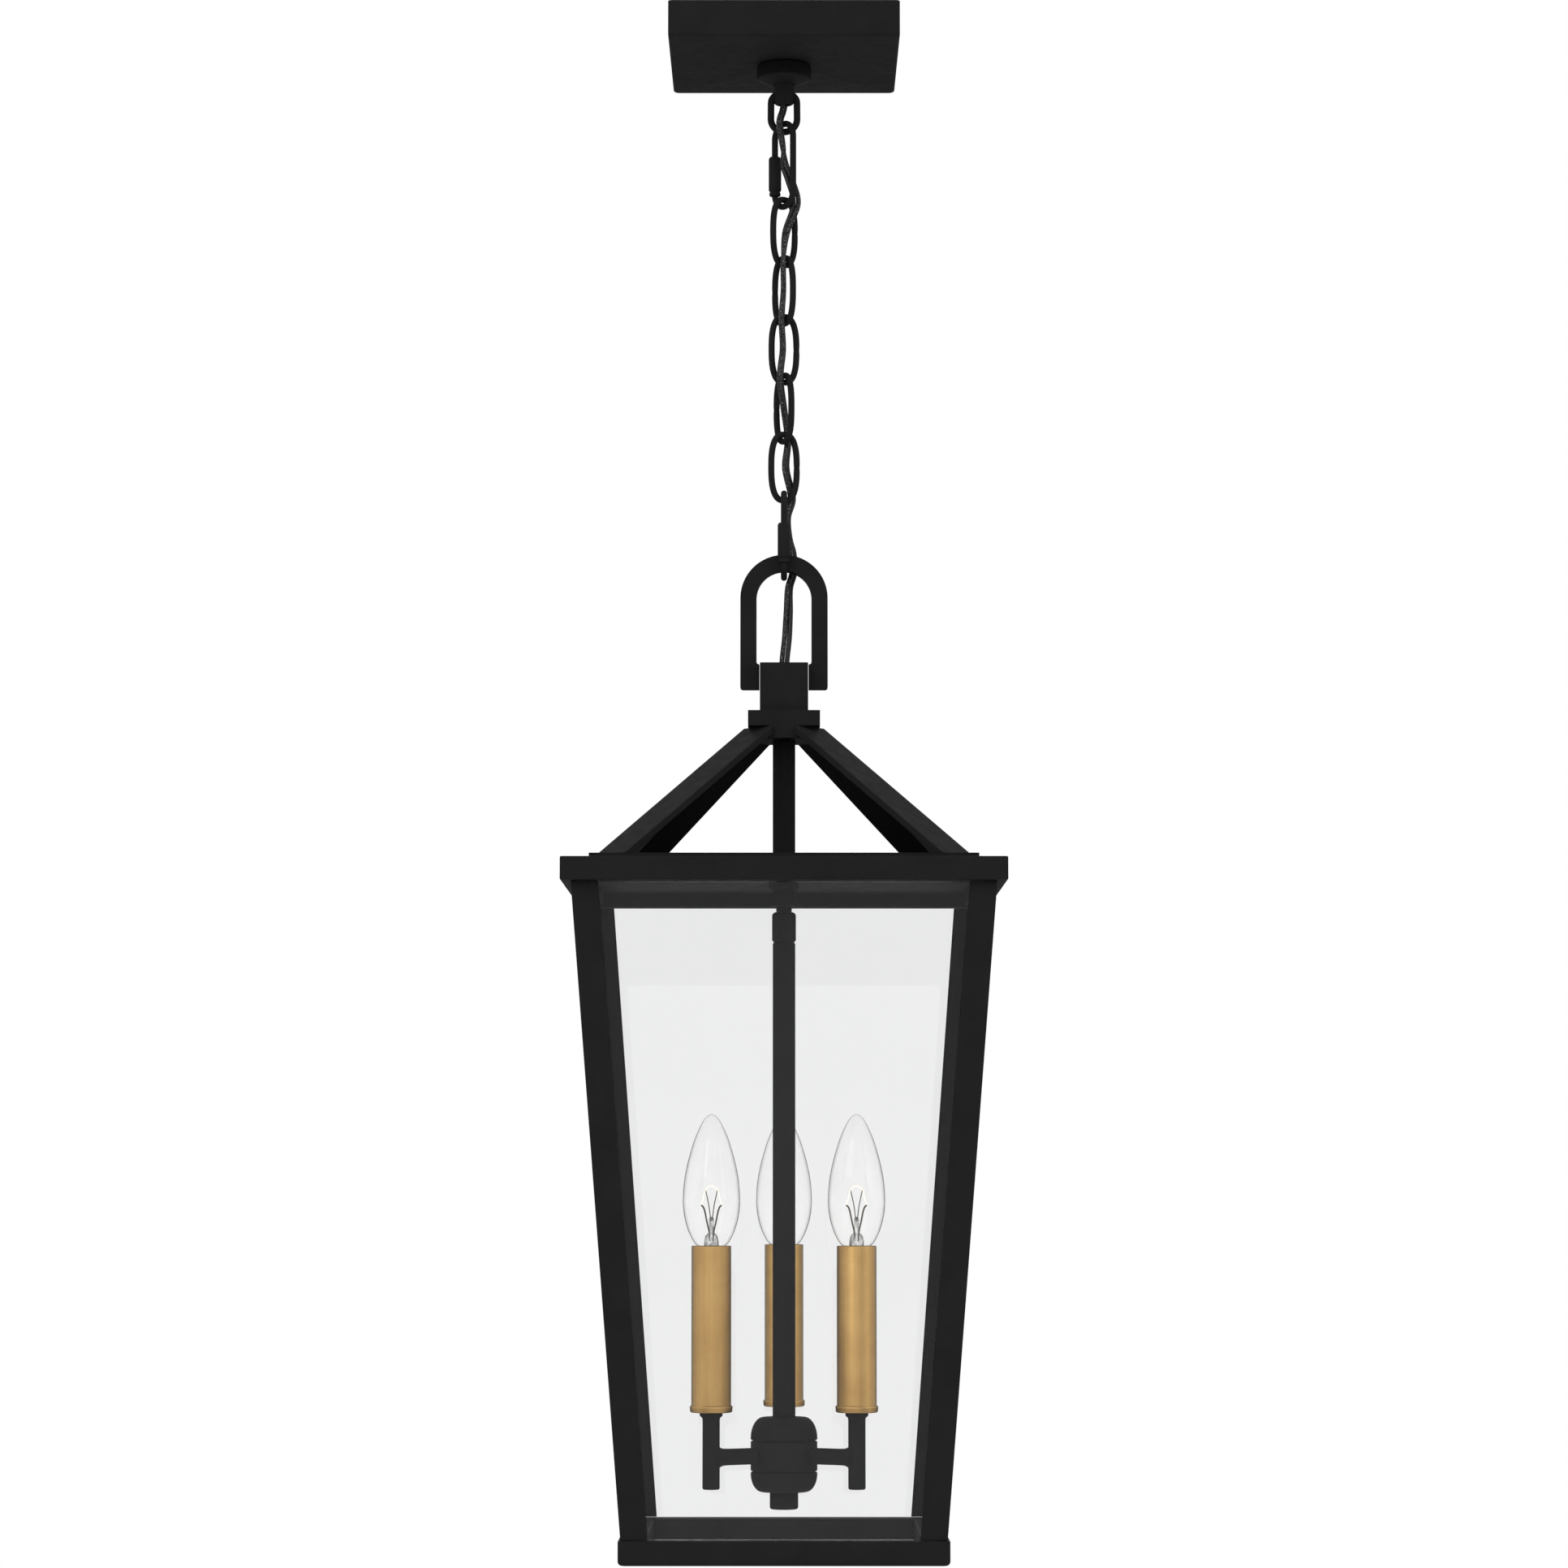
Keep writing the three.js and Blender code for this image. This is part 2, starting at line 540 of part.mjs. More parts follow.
// One arm of the cluster, built along +X: a level tube into an upright post with a flared seat.
function candleArm() {
  const reach = CANDLE_CIRCLE_R - CLUSTER_R - GAP;
  const level = rod(ARM_R, 0, reach, 16).rotateY(-Math.PI / 2).translate(CANDLE_CIRCLE_R, 0, ARM_Z);
  const seat = CANDLE.ring - GAP;
  const post = turned([[0, CANDLE.foot], [4.4, CANDLE.foot], [5, CANDLE.foot + 0.7], [5, seat - 3], [5.6, seat - 1.8],
    [6.6, seat - 0.9], [6.6, seat], [0, seat]], { sides: 16 });
  return join(level, post.translate(CANDLE_CIRCLE_R, 0, 0));
}

function candleSleeve() {
  const { r, wall, ringR, ringHeight } = SLEEVE;
  const bottom = CANDLE.ring;
  return turned([[2.4, bottom], [ringR - 0.9, bottom], [ringR, bottom + 1], [ringR, bottom + 3.2],
    [r, bottom + ringHeight], [r, CANDLE.sleeveTop], [r - wall, CANDLE.sleeveTop], [r - wall, bottom + 1.2],
    [2.4, bottom + 1.2]], { hollow: true });
}

// A candelabra socket on its bracket post, standing on the sleeve's floor.
function socket() {
  const floor = CANDLE.ring + 1.2 + GAP;
  const rim = CANDLE.sleeveTop - 5.5;
  const body = rim - 36;
  const boreR = 6.6;
  return turned([[0, floor], [2.8, floor], [2.8, body], [8.2, body + 2], [8.2, rim], [boreR, rim],
    [boreR, rim - 22], [0, rim - 22]], { sides: 16 });
}

// A flame-shaped bulb: its screw base and the glass above it.
function bulb() {
  const { bulbTip, sleeveTop } = CANDLE;
  const shoulder = sleeveTop - 5;
  const glassPoints = [[6.2, shoulder], [7.8, sleeveTop], [11.5, sleeveTop + 6.8], [14.9, sleeveTop + 16.2],
    [16.7, sleeveTop + 28], [14.8, sleeveTop + 45], [10.7, sleeveTop + 57.4], [4.6, sleeveTop + 71.3]];
  const curve = new THREE.SplineCurve(glassPoints.map(([r, z]) => new THREE.Vector2(r, z)));
  const side = curve.getPoints(10).map((point) => [point.x, point.y]);
  const contact = shoulder - 21;
  return turned([[0, contact], [3, contact], [6.1, contact + 3], [6.1, shoulder - 1], ...side,
    [1.6, bulbTip - 0.9], [0, bulbTip]], { sides: 16 });
}

// ---------------------------------------------------------------- assembly
const lantern = new THREE.Group();

lantern.add(
  part("mounting_strap", mountingStrap(), zinc),
  part("nipple", tube(NIPPLE.outerR, NIPPLE.boreR, NIPPLE.bottom, NIPPLE.top), zinc),
  part("strap_nut", hexNut(15, NIPPLE.outerR + GAP, -6.4, -STRAP_THICKNESS - GAP), zinc),
  part("ground_screw", groundScrew(), green),
  part("canopy", canopyPan(), black),
  part("screw_collar", screwCollar(), black),
  part("canopy_loop", canopyLoop(), black),
);

for (const [end, z] of Object.entries({ top: QUICK_TOP_Z, bottom: QUICK_BOTTOM_Z })) {
  // The top link's nut hangs on its left leg, so the link is turned half round as well.
  const turn = end === "top" ? QUICK_YAWS.top + 180 : QUICK_YAWS.bottom;
  lantern.add(part(`quick_link_${end}`, quickLink(), black, z, turn));
  lantern.add(part(`quick_nut_${end}`, quickNut(), black, z, turn));
}

LINK_YAWS.forEach((yaw, i) => {
  // Every second link has its seam on the other side.
  const turn = yaw + (i % 2) * 180;
  lantern.add(part(`chain_link_${i + 1}`, chainLink(), black, CHAIN_TOP_Z - i * LINK_PITCH, turn));
});

lantern.add(
  part("wire_live", supplyWire(0), vinyl),
  part("wire_return", supplyWire(CORD_SPACING), vinyl),
  part("yoke", yoke(), black),
  part("yoke_block", yokeBlock(), black),
  part("roof_hub", roofHub(), black),
  part("upper_rod", tube(ROD_R, WIREWAY_R, PLATE_TOP_Z + GAP, HUB_BOTTOM_Z - GAP), black),
  part("roof_plate", roofPlate(), black),
  part("top_ring", squareRing(TOP_RING, RING_TOP_Z), black),
  part("bottom_ring", squareRing(BOTTOM_RING, FOOT_TOP_Z, 2), black),
);

const CORNERS = ["rear_right", "rear_left", "front_left", "front_right"];
CORNERS.forEach((corner, i) => {
  lantern.add(part(`roof_bar_${corner}`, roofBar(), black, 0, 45 + 90 * i));
  lantern.add(part(`corner_post_${corner}`, cornerPost(), black, 0, 90 * i));
});

const SIDES = ["rear", "left", "front", "right"];
SIDES.forEach((side, i) => {
  lantern.add(part(`glass_${side}`, glassPane(), glass, 0, 90 * i));
});

lantern.add(
  part("rail_screw_left", railScrew(-40), black),
  part("rail_screw_right", railScrew(40), black),
  part("plate_nut", hexNut(15.4, WIREWAY_R, PLATE_BOTTOM_Z - GAP - 5.1, PLATE_BOTTOM_Z - GAP), black),
  part("coupling", coupling(), black),
  part("stem_sleeve", stemSleeve(), black),
  part("stem", tube(STEM_R, WIREWAY_R, CLUSTER.top + GAP, STEM_SLEEVE.bottom - GAP), black),
  part("cluster_cap_top", clusterCapTop(), black),
  part("cluster_body", tube(CLUSTER_R, 15, CLUSTER.lowerSeam, CLUSTER.upperSeam), black),
  part("cluster_cap_bottom", clusterCapBottom(), black),
  part("finial", finial(), black),
);

for (const [place, angle] of Object.entries(CANDLE_ANGLES)) {
  const candle = new THREE.Group();
  candle.position.x = CANDLE_CIRCLE_R;
  candle.add(
    part(`candle_sleeve_${place}`, candleSleeve(), brass),
    part(`socket_${place}`, socket(), phenolic),
    part(`bulb_${place}`, bulb(), glass),
  );
  const branch = new THREE.Group();
  branch.rotation.z = degrees(angle);
  branch.add(part(`candle_arm_${place}`, candleArm(), black), candle);
  lantern.add(branch);
}

export default lantern;
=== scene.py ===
"""Looks for a square tapered hanging lantern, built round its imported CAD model.

Shapes are worked out in millimetres (+Z up, -Y to the front) and become metres when a mesh is made.
Sizes that the CAD knows are read from its boxes.
"""

import json
import math

import bmesh
import bpy
from mathutils import Matrix, Vector


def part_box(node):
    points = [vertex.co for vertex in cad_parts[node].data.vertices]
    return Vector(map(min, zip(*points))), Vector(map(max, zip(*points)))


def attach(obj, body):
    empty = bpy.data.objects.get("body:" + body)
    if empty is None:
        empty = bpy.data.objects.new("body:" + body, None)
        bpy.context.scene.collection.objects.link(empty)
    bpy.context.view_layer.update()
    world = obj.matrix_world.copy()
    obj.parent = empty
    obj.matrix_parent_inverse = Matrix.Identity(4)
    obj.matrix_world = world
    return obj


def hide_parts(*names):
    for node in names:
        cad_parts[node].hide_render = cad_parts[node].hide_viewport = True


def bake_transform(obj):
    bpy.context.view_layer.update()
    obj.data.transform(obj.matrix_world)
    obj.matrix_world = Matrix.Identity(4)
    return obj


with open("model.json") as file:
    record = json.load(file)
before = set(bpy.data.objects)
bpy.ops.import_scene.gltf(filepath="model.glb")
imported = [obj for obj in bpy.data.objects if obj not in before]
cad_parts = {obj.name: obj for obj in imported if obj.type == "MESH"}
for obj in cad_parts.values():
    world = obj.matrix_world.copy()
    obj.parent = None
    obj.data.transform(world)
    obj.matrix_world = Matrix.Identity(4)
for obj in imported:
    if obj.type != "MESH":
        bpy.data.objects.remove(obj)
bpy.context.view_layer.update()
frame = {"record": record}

MM = 0.001
RECORD = frame["record"]
BODY_OF = {node: body for body, nodes in RECORD["behaviour"]["bodies"].items() for node in nodes}
JOINTS = RECORD["behaviour"]["joints"]
JOINT_Z = {joint["name"]: joint["pos_m"][2] / MM for joint in JOINTS if joint.get("pos_m")}


def low(node, axis=2):
    """A CAD node's lowest coordinate along an axis, in millimetres."""
    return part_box(node)[0][axis] / MM


def high(node, axis=2):
    """A CAD node's highest coordinate along an axis, in millimetres."""
    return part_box(node)[1][axis] / MM


def ends(node):
    """The levels of a CAD node's underside and top."""
    return low(node), high(node)


# ---- camera
LENS_LENGTH, SENSOR_WIDTH = 100, 36
CAMERA_PLACE = (0, -2.585, -0.7013)
CAMERA_TILT = 5.365  # degrees up from level


def add_camera():
    """A long lens in front of the lantern, low down on it and tilted up a little."""
    data = bpy.data.cameras.new("camera")
    data.lens = LENS_LENGTH
    data.sensor_width = SENSOR_WIDTH
    camera = bpy.data.objects.new("camera", data)
    camera.location = CAMERA_PLACE
    camera.rotation_euler = (math.radians(90 + CAMERA_TILT), 0, 0)
    bpy.context.scene.collection.objects.link(camera)
    bpy.context.scene.camera = camera


add_camera()


# ---- shapes
# A shape is (points, faces), in millimetres.
def polar(radius, degrees, z=0.0):
    """A point at an angle about the Z axis, counted from +X."""
    angle = math.radians(degrees)
    return Vector((radius * math.cos(angle), radius * math.sin(angle), z))


def arc(centre_x, centre_y, radius, start, end, steps):
    """Points (x, y) on an arc, its ends included. Angles are in degrees."""
    points = []
    for i in range(steps + 1):
        angle = math.radians(start + (end - start) * i / steps)
        points.append((centre_x + radius * math.cos(angle), centre_y + radius * math.sin(angle)))
    return points


def oval_arc(centre, reach, degrees):
    """Points (x, y) on an ellipse, at each of the angles."""
    points = []
    for angle in map(math.radians, degrees):
        points.append((centre[0] + reach[0] * math.cos(angle), centre[1] + reach[1] * math.sin(angle)))
    return points


def loft(loops, closed=False):
    """Skins loops that all have the same number of points. An open loft gets flat ends."""
    count = len(loops[0])
    points = [Vector(p) for loop in loops for p in loop]
    faces = []
    last = len(loops) if closed else len(loops) - 1
    for k in range(last):
        a = k * count
        b = (k + 1) % len(loops) * count
        for i in range(count):
            j = (i + 1) % count
            faces.append((a + i, a + j, b + j, b + i))
    if not closed:
        faces.append(tuple(reversed(range(count))))
        faces.append(tuple(range((len(loops) - 1) * count, len(loops) * count)))
    return points, faces


def circle(radius, z, sides):
    """A round outline, level at z."""
    return [polar(radius, 360 * i / sides, z) for i in range(sides)]


def lathe(profile, closed=False, sides=72):
    """Turns (radius, z) pairs about Z. A closed profile is a hollow piece's whole section."""
    return loft([circle(radius, z, sides) for radius, z in profile], closed)


def rectangle_loop(length, width, corner_r, z, steps=5):
    """A rectangle with rounded corners, level at z."""
    reach_x, reach_y = length / 2 - corner_r, width / 2 - corner_r
    loop = []
    for k, (sx, sy) in enumerate([(1, 1), (-1, 1), (-1, -1), (1, -1)]):
        loop += arc(sx * reach_x, sy * reach_y, corner_r, 90 * k, 90 * k + 90, steps)
    return [Vector((x, y, z)) for x, y in loop]


def square_loop(side, corner_r, z, steps=5):
    return rectangle_loop(side, side, corner_r, z, steps)


def rounded_foot(side, corner_r, rounding, bottom, steps):
    """Square outlines that round off a block's bottom edge, going up."""
    loops = []
    for degrees in (0, 22.5, 45, 67.5, 90):
        angle = math.radians(degrees)
        inset = rounding * (1 - math.sin(angle))
        rise = rounding * (1 - math.cos(angle))
        loops.append(square_loop(side - 2 * inset, corner_r, bottom + rise, steps))
    return loops


def pulled_round(loop, radius):
    """The loop's points moved onto a circle about the Z axis."""
    return [Vector((p.x, p.y, 0)).normalized() * radius + Vector((0, 0, p.z)) for p in loop]


def extruded(outline, direction):
    """A flat outline of 3D points, thickened along a direction."""
    return loft([outline, [Vector(p) + Vector(direction) for p in outline]])


def sweep(path, radius, sides=20, frames=None):
    """A round bar along a path. radius may be a list, with one radius for each point."""
    frames = frames or path_frames(path)
    radii = radius if isinstance(radius, list) else [radius] * len(path)
    loops = []
    for point, r, (side, up) in zip(path, radii, frames):
        ring = []
        for k in range(sides):
            angle = 2 * math.pi * k / sides
            ring.append(point + side * (r * math.cos(angle)) + up * (r * math.sin(angle)))
        loops.append(ring)
    return loft(loops)


def upright(pairs, y=0.0, above=0.0):
    """Points (x, z) stood up in the plane at y, and raised."""
    return [Vector((x, y, above + z)) for x, z in pairs]


def path_frames(path):
    """Two unit vectors square to the path at each point, carried along it without twisting."""
    frames = []
    side = None
    for i in range(len(path)):
        ahead = path[min(i + 1, len(path) - 1)] - path[max(i - 1, 0)]
        ahead.normalize()
        if side is None:
            side = ahead.orthogonal()
        side = (side - ahead * side.dot(ahead)).normalized()
        frames.append((side, ahead.cross(side)))
    return frames


def moved(shape, offset=(0, 0, 0), turn=0.0):
    """A shape turned about Z in degrees and then shifted."""
    matrix = Matrix.Translation(Vector(offset)) @ Matrix.Rotation(math.radians(turn), 4, "Z")
    return [matrix @ p for p in shape[0]], shape[1]


# ---- pieces
WELD_DISTANCE = 1e-6  # metres


def make_piece(name, shapes, material, bevel=0.0, segments=3):
    """One smooth-shaded mesh object from several shapes, with its hard edges rounded off."""
    points, faces = [], []
    for shape_points, shape_faces in shapes:
        faces += [[len(points) + i for i in face] for face in shape_faces]
        points += [p * MM for p in shape_points]
    mesh = bpy.data.meshes.new(name)
    mesh.from_pydata(points, [], faces)
    bm = bmesh.new()
    bm.from_mesh(mesh)
    bmesh.ops.remove_doubles(bm, verts=bm.verts, dist=WELD_DISTANCE)
    bmesh.ops.recalc_face_normals(bm, faces=bm.faces)
    for face in bm.faces:
        face.smooth = True
    bm.to_mesh(mesh)
    bm.free()
    mesh.materials.append(material)
    piece = bpy.data.objects.new(name, mesh)
    bpy.context.scene.collection.objects.link(piece)
    if bevel:
        round_edges(piece, bevel, segments)
    return piece


def round_edges(piece, width, segments=3):
    """Rounds a piece's edges wherever its faces meet at 30 degrees or more."""
    rounding = piece.modifiers.new("rounded_edges", "BEVEL")
    rounding.width = width * MM
    rounding.segments = segments
    rounding.limit_method = "ANGLE"
    rounding.angle_limit = math.radians(30)
    rounding.harden_normals = True


def finish_piece(node, shapes, material, bevel=0.0, **options):
    """A piece that stands for a CAD node and moves with its body."""
    piece = make_piece(f"{node}_look", shapes, material, bevel, **options)
    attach(piece, BODY_OF[node])
    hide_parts(node)
    return piece


def extra_piece(name, body, shapes, material):
    """A detail that has no CAD node of its own."""
    piece = make_piece(name, shapes, material)
    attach(piece, body)
    return piece


def carve(piece, shapes):
    """Cuts closed shapes out of a piece's mesh."""
    for k, shape in enumerate(shapes):
        tool = make_piece(f"{piece.name}_tool_{k}", [shape], COAT)
        cut = piece.modifiers.new("cut", "BOOLEAN")
        cut.operation = "DIFFERENCE"
        cut.solver = "EXACT"
        cut.object = tool
        settle(piece)
        bpy.data.objects.remove(tool)
    for polygon in piece.data.polygons:
        polygon.use_smooth = True


def settle(piece):
    """Applies a piece's modifiers to its mesh."""
    bpy.context.view_layer.update()
    evaluated = piece.evaluated_get(bpy.context.evaluated_depsgraph_get())
    mesh = bpy.data.meshes.new_from_object(evaluated)
    piece.modifiers.clear()
    piece.data = mesh


# ---- materials
class Nodes:
    """A short way to write a node tree."""

    def __init__(self, tree):
        self.tree = tree
        tree.nodes.clear()

    def add(self, kind, **values):
        """Adds a shader node. inputs go by name or number; the other values are its properties."""
        node = self.tree.nodes.new(f"ShaderNode{kind}")
        inputs = values.pop("inputs", {})
        for name, value in values.items():
            setattr(node, name, value)
        for name, value in inputs.items():
            if isinstance(value, bpy.types.NodeSocket):
                self.tree.links.new(value, node.inputs[name])
            else:
                node.inputs[name].default_value = value
        return node

    def noise(self, scale, detail=2.0, roughness=0.5, stretch=(1, 1, 1)):
        """Noise in the object's own metres: scale is features per metre."""
        place = self.add("TexCoord")
        mapping = self.add("Mapping", inputs={"Vector": place.outputs["Object"], "Scale": stretch})
        texture = self.add(
            "TexNoise",
            inputs={"Vector": mapping.outputs[0], "Scale": scale, "Detail": detail, "Roughness": roughness},
        )
        return texture.outputs["Fac"]

    def ramp(self, factor, stops):
        """Colours or grey levels by position; each stop is (position, colour)."""
        node = self.add("ValToRGB", inputs={"Fac": factor})
        elements = node.color_ramp.elements
        while len(elements) < len(stops):
            elements.new(0.5)
        for element, (position, colour) in zip(elements, stops):
            element.position = position
            element.color = (*colour, 1) if isinstance(colour, tuple) else (colour, colour, colour, 1)
        return node.outputs["Color"]

    def math(self, operation, *values):
        """Arithmetic on numbers or sockets."""
        node = self.add("Math", operation=operation, inputs=dict(enumerate(values)))
        return node.outputs[0]

    def times(self, a, b):
        """One colour multiplied by another."""
        node = self.add("Mix", data_type="RGBA", blend_type="MULTIPLY", inputs={0: 1.0, 6: a, 7: b})
        return node.outputs[2]

    def bump(self, height, distance, strength, below=None):
        """A surface normal from a height; distance is its full depth in metres."""
        inputs = {"Height": height, "Distance": distance, "Strength": strength}
        if below is not None:
            inputs["Normal"] = below
        return self.add("Bump", inputs=inputs).outputs[0]


def new_material(name):
    """A material and its empty node tree."""
    material = bpy.data.materials.new(name)
    material.use_nodes = True
    return material, Nodes(material.node_tree)


def surface(nodes, **inputs):
    """The principled shader and the output, joined. Input names use _ for spaces."""
    named = {key.replace("_", " "): value for key, value in inputs.items()}
    shader = nodes.add("BsdfPrincipled", inputs=named)
    nodes.add("OutputMaterial", inputs={"Surface": shader.outputs[0]})


def powder_coat():
    """Black powder coat: a faint orange peel and a finer grain, with slow patches in its gloss."""
    material, n = new_material("black_powder_coat")
    colour = n.ramp(n.noise(45, 3), [(0.35, (0.0115, 0.0115, 0.0117)), (0.65, (0.0135, 0.0135, 0.0137))])
    gloss = n.ramp(n.noise(160, 3), [(0.35, 0.50), (0.65, 0.60)])
    peel = n.bump(n.noise(900, 2), 0.00003, 0.25)
    grain = n.bump(n.noise(3200, 2, 0.6), 0.00002, 0.2, peel)
    surface(n, Base_Color=colour, Roughness=gloss, Normal=grain, Specular_IOR_Level=0.015)
    return material


def brass():
    """Satin brass, with a fine grain, faint draw lines along the tube, slight patches of tarnish and painted
    shade that darkens it where it is seen edge-on.
    """
    material, n = new_material("antique_brass")
    patches = n.ramp(n.noise(70, 4), [(0.3, (0.53, 0.32, 0.115)), (0.7, (0.61, 0.385, 0.145))])
    facing = n.add("LayerWeight", inputs={"Blend": 0.5}).outputs["Facing"]
    # painted shade: the colour darkens where the surface is seen edge-on
    painted_edge_shade = n.ramp(facing, [(0.22, 1.0), (0.55, 0.75), (0.74, 0.32), (1.0, 0.10)])
    streaks = n.ramp(n.noise(900, 2, 0.5, (1, 1, 0.01)), [(0.3, 0.90), (0.7, 1.0)])
    colour = n.times(n.times(patches, painted_edge_shade), streaks)
    gloss = n.ramp(n.noise(500, 3), [(0.3, 0.40), (0.7, 0.50)])
    lines = n.bump(n.noise(1400, 2, 0.5, (1, 1, 0.02)), 0.00003, 0.25)
    grain = n.bump(n.noise(3500, 2, 0.6), 0.00002, 0.45, lines)
    surface(n, Base_Color=colour, Roughness=gloss, Normal=grain, Metallic=1.0)
    return material


def steel(name="zinc_steel", tint=(0.60, 0.61, 0.60), dark=(0.46, 0.48, 0.47)):
    """Zinc-plated steel, patchy in colour and gloss."""
    material, n = new_material(name)
    colour = n.ramp(n.noise(220, 4), [(0.3, dark), (0.7, tint)])
    gloss = n.ramp(n.noise(600, 3), [(0.3, 0.30), (0.7, 0.46)])
    grain = n.bump(n.noise(2600, 2), 0.00002, 0.5)
    surface(n, Base_Color=colour, Roughness=gloss, Normal=grain, Metallic=1.0)
    return material


def phenolic():
    """Dark moulded socket body."""
    material, n = new_material("socket_phenolic")
    colour = n.ramp(n.noise(400, 3), [(0.3, (0.016, 0.013, 0.011)), (0.7, (0.030, 0.025, 0.020))])
    grain = n.bump(n.noise(1800, 2), 0.00003, 0.5)
    surface(n, Base_Color=colour, Roughness=0.45, Normal=grain)
    return material


def insulation(braided):
    """Black insulation: smooth vinyl, or a woven sleeve with painted highlights in its colour where its
    threads catch the light.
    """
    material, n = new_material("wire_braid" if braided else "wire_vinyl")
    if braided:
        # painted highlights: bright specks in the colour stand for threads that catch the light
        painted_thread_glints = n.ramp(n.noise(1900, 1), [(0.62, 0.008), (0.70, (0.26, 0.26, 0.27))])
        weave = n.bump(n.noise(1500, 1), 0.0002, 0.8)
        surface(n, Base_Color=painted_thread_glints, Roughness=0.55, Normal=weave, Specular_IOR_Level=0.2)
    else:
        colour = n.ramp(n.noise(300, 2), [(0.3, 0.008), (0.7, 0.013)])
        skin = n.bump(n.noise(900, 2), 0.00004, 0.4)
        surface(n, Base_Color=colour, Roughness=0.35, Normal=skin, Specular_IOR_Level=0.2)
    return material


def thin_glass(name, head_on, grazing, power, clearness, painted_glow_strength=0.0):
    """Clear glass that lets light straight through and mirrors more of it at a slant.

    head_on and grazing are the shares that it mirrors, clearness(nodes, facing) is the colour that it lets
    through, and the last argument is the strength of a glow painted on the glass for the filament's light
    that it scatters.
    """
    material, n = new_material(name)
    facing = n.add("LayerWeight", inputs={"Blend": 0.5}).outputs["Facing"]
    share = n.math("MULTIPLY_ADD", n.math("POWER", facing, power), grazing - head_on, head_on)
    through = n.add("BsdfTransparent", inputs={"Color": clearness(n, facing)})
    smears = n.ramp(n.noise(40, 3), [(0.3, 0.0), (0.7, 0.02)])
    ripple = n.bump(n.noise(25, 1), 0.00002, 0.1)
    mirror = n.add("BsdfGlossy", inputs={"Roughness": smears, "Normal": ripple})
    glass = n.add("MixShader", inputs={0: share, 1: through.outputs[0], 2: mirror.outputs[0]})
    # painted light: an optional glow added on the glass
    if painted_glow_strength:
        painted_glow = painted_glass_glow(n, painted_glow_strength)
        glass = n.add("AddShader", inputs={0: glass.outputs[0], 1: painted_glow})
    n.add("OutputMaterial", inputs={"Surface": glass.outputs[0]})
    return material


def painted_glass_glow(n, painted_glow_strength):
    """A glow painted on a bulb's glass for the filament's light that it scatters, most of it in the lower
    half.
    """
    height = n.add("SeparateXYZ", inputs={0: n.add("TexCoord").outputs["Generated"]})
    share = n.ramp(height.outputs["Z"], [(0.35, 1.0), (0.85, 0.15)])
    strength = n.math("MULTIPLY", share, painted_glow_strength)
    # painted light: the glass glows, though only the filament is a lamp
    light = n.add("Emission", inputs={"Color": (1.0, 0.985, 0.95, 1), "Strength": strength})
    return light.outputs[0]


def pane_clearness(n, _facing):
    """Float glass: almost clear, with a trace of green and slow changes."""
    return n.ramp(n.noise(15, 2), [(0.3, (0.966, 0.968, 0.967)), (0.7, (0.970, 0.971, 0.971))])


def bulb_clearness(n, facing):
    """A bulb's wall, with painted shade that darkens it where it is seen edge-on."""
    # painted shade: a dark outline where the wall is seen edge-on
    rim = n.ramp(facing, [(0.0, 1.0), (0.50, 0.99), (0.70, 0.84), (0.82, 0.45), (1.0, 0.22)])
    dust = n.ramp(n.noise(120, 2), [(0.3, 0.99), (0.7, 1.0)])
    return n.times(rim, dust)


def stem_clearness(n, facing):
    """Thick pressed glass, streaked, with painted shade that darkens it at its edges."""
    # painted shade: darker where the glass is seen edge-on
    rim = n.ramp(facing, [(0.0, 0.97), (0.35, 0.88), (0.60, 0.50), (1.0, 0.15)])
    streaks = n.ramp(n.noise(500, 2, 0.5, (1, 1, 0.3)), [(0.45, 1.0), (0.60, 0.55)])
    return n.times(rim, streaks)


def glow():
    """A lit filament."""
    material, n = new_material("filament_glow")
    colour = n.ramp(n.noise(2000, 1), [(0.3, (1.0, 0.72, 0.38)), (0.7, (1.0, 0.90, 0.70))])
    light = n.add("Emission", inputs={"Color": colour, "Strength": 2.2})
    n.add("OutputMaterial", inputs={"Surface": light.outputs[0]})
    return material


COAT = powder_coat()
BRASS = brass()
ZINC = steel()
GREEN = steel("green_steel", (0.045, 0.20, 0.065), (0.03, 0.14, 0.045))
BASE_METAL = steel("bulb_base_metal", (0.66, 0.64, 0.58), (0.48, 0.46, 0.41))
LEAD_METAL = steel("lead_wire_metal", (0.09, 0.05, 0.022), (0.025, 0.016, 0.01))
PHENOLIC = phenolic()
VINYL = insulation(braided=False)
BRAID = insulation(braided=True)
PANE_GLASS = thin_glass("clear_glass", 0.028, 1.0, 5.0, pane_clearness)
BULB_GLASS = thin_glass("bulb_glass", 0.03, 0.25, 4.0, bulb_clearness, painted_glow_strength=0.04)
STEM_GLASS = thin_glass("bulb_stem_glass", 0.12, 0.5, 3.0, stem_clearness, painted_glow_strength=0.02)
GLOW = glow()


# ---- supply wires
HANGING = ["quick_top", *[f"link_{i}" for i in range(1, 6)], "quick_bottom", "lantern"]
LINK_JOINTS = [f"swing_{body}" for body in HANGING]
WIRE_SPACING = 3.1
WIRE_R = 1.5
BAR_R = 1.9  # round bar of the chain and of the quick links
HALF_REST = 2.05  # from the bar that a link hangs on, up to half way to the link's own bar
ABOVE_WIRES, BELOW_WIRES = 10.0, -2000.0  # levels past both ends of the wires


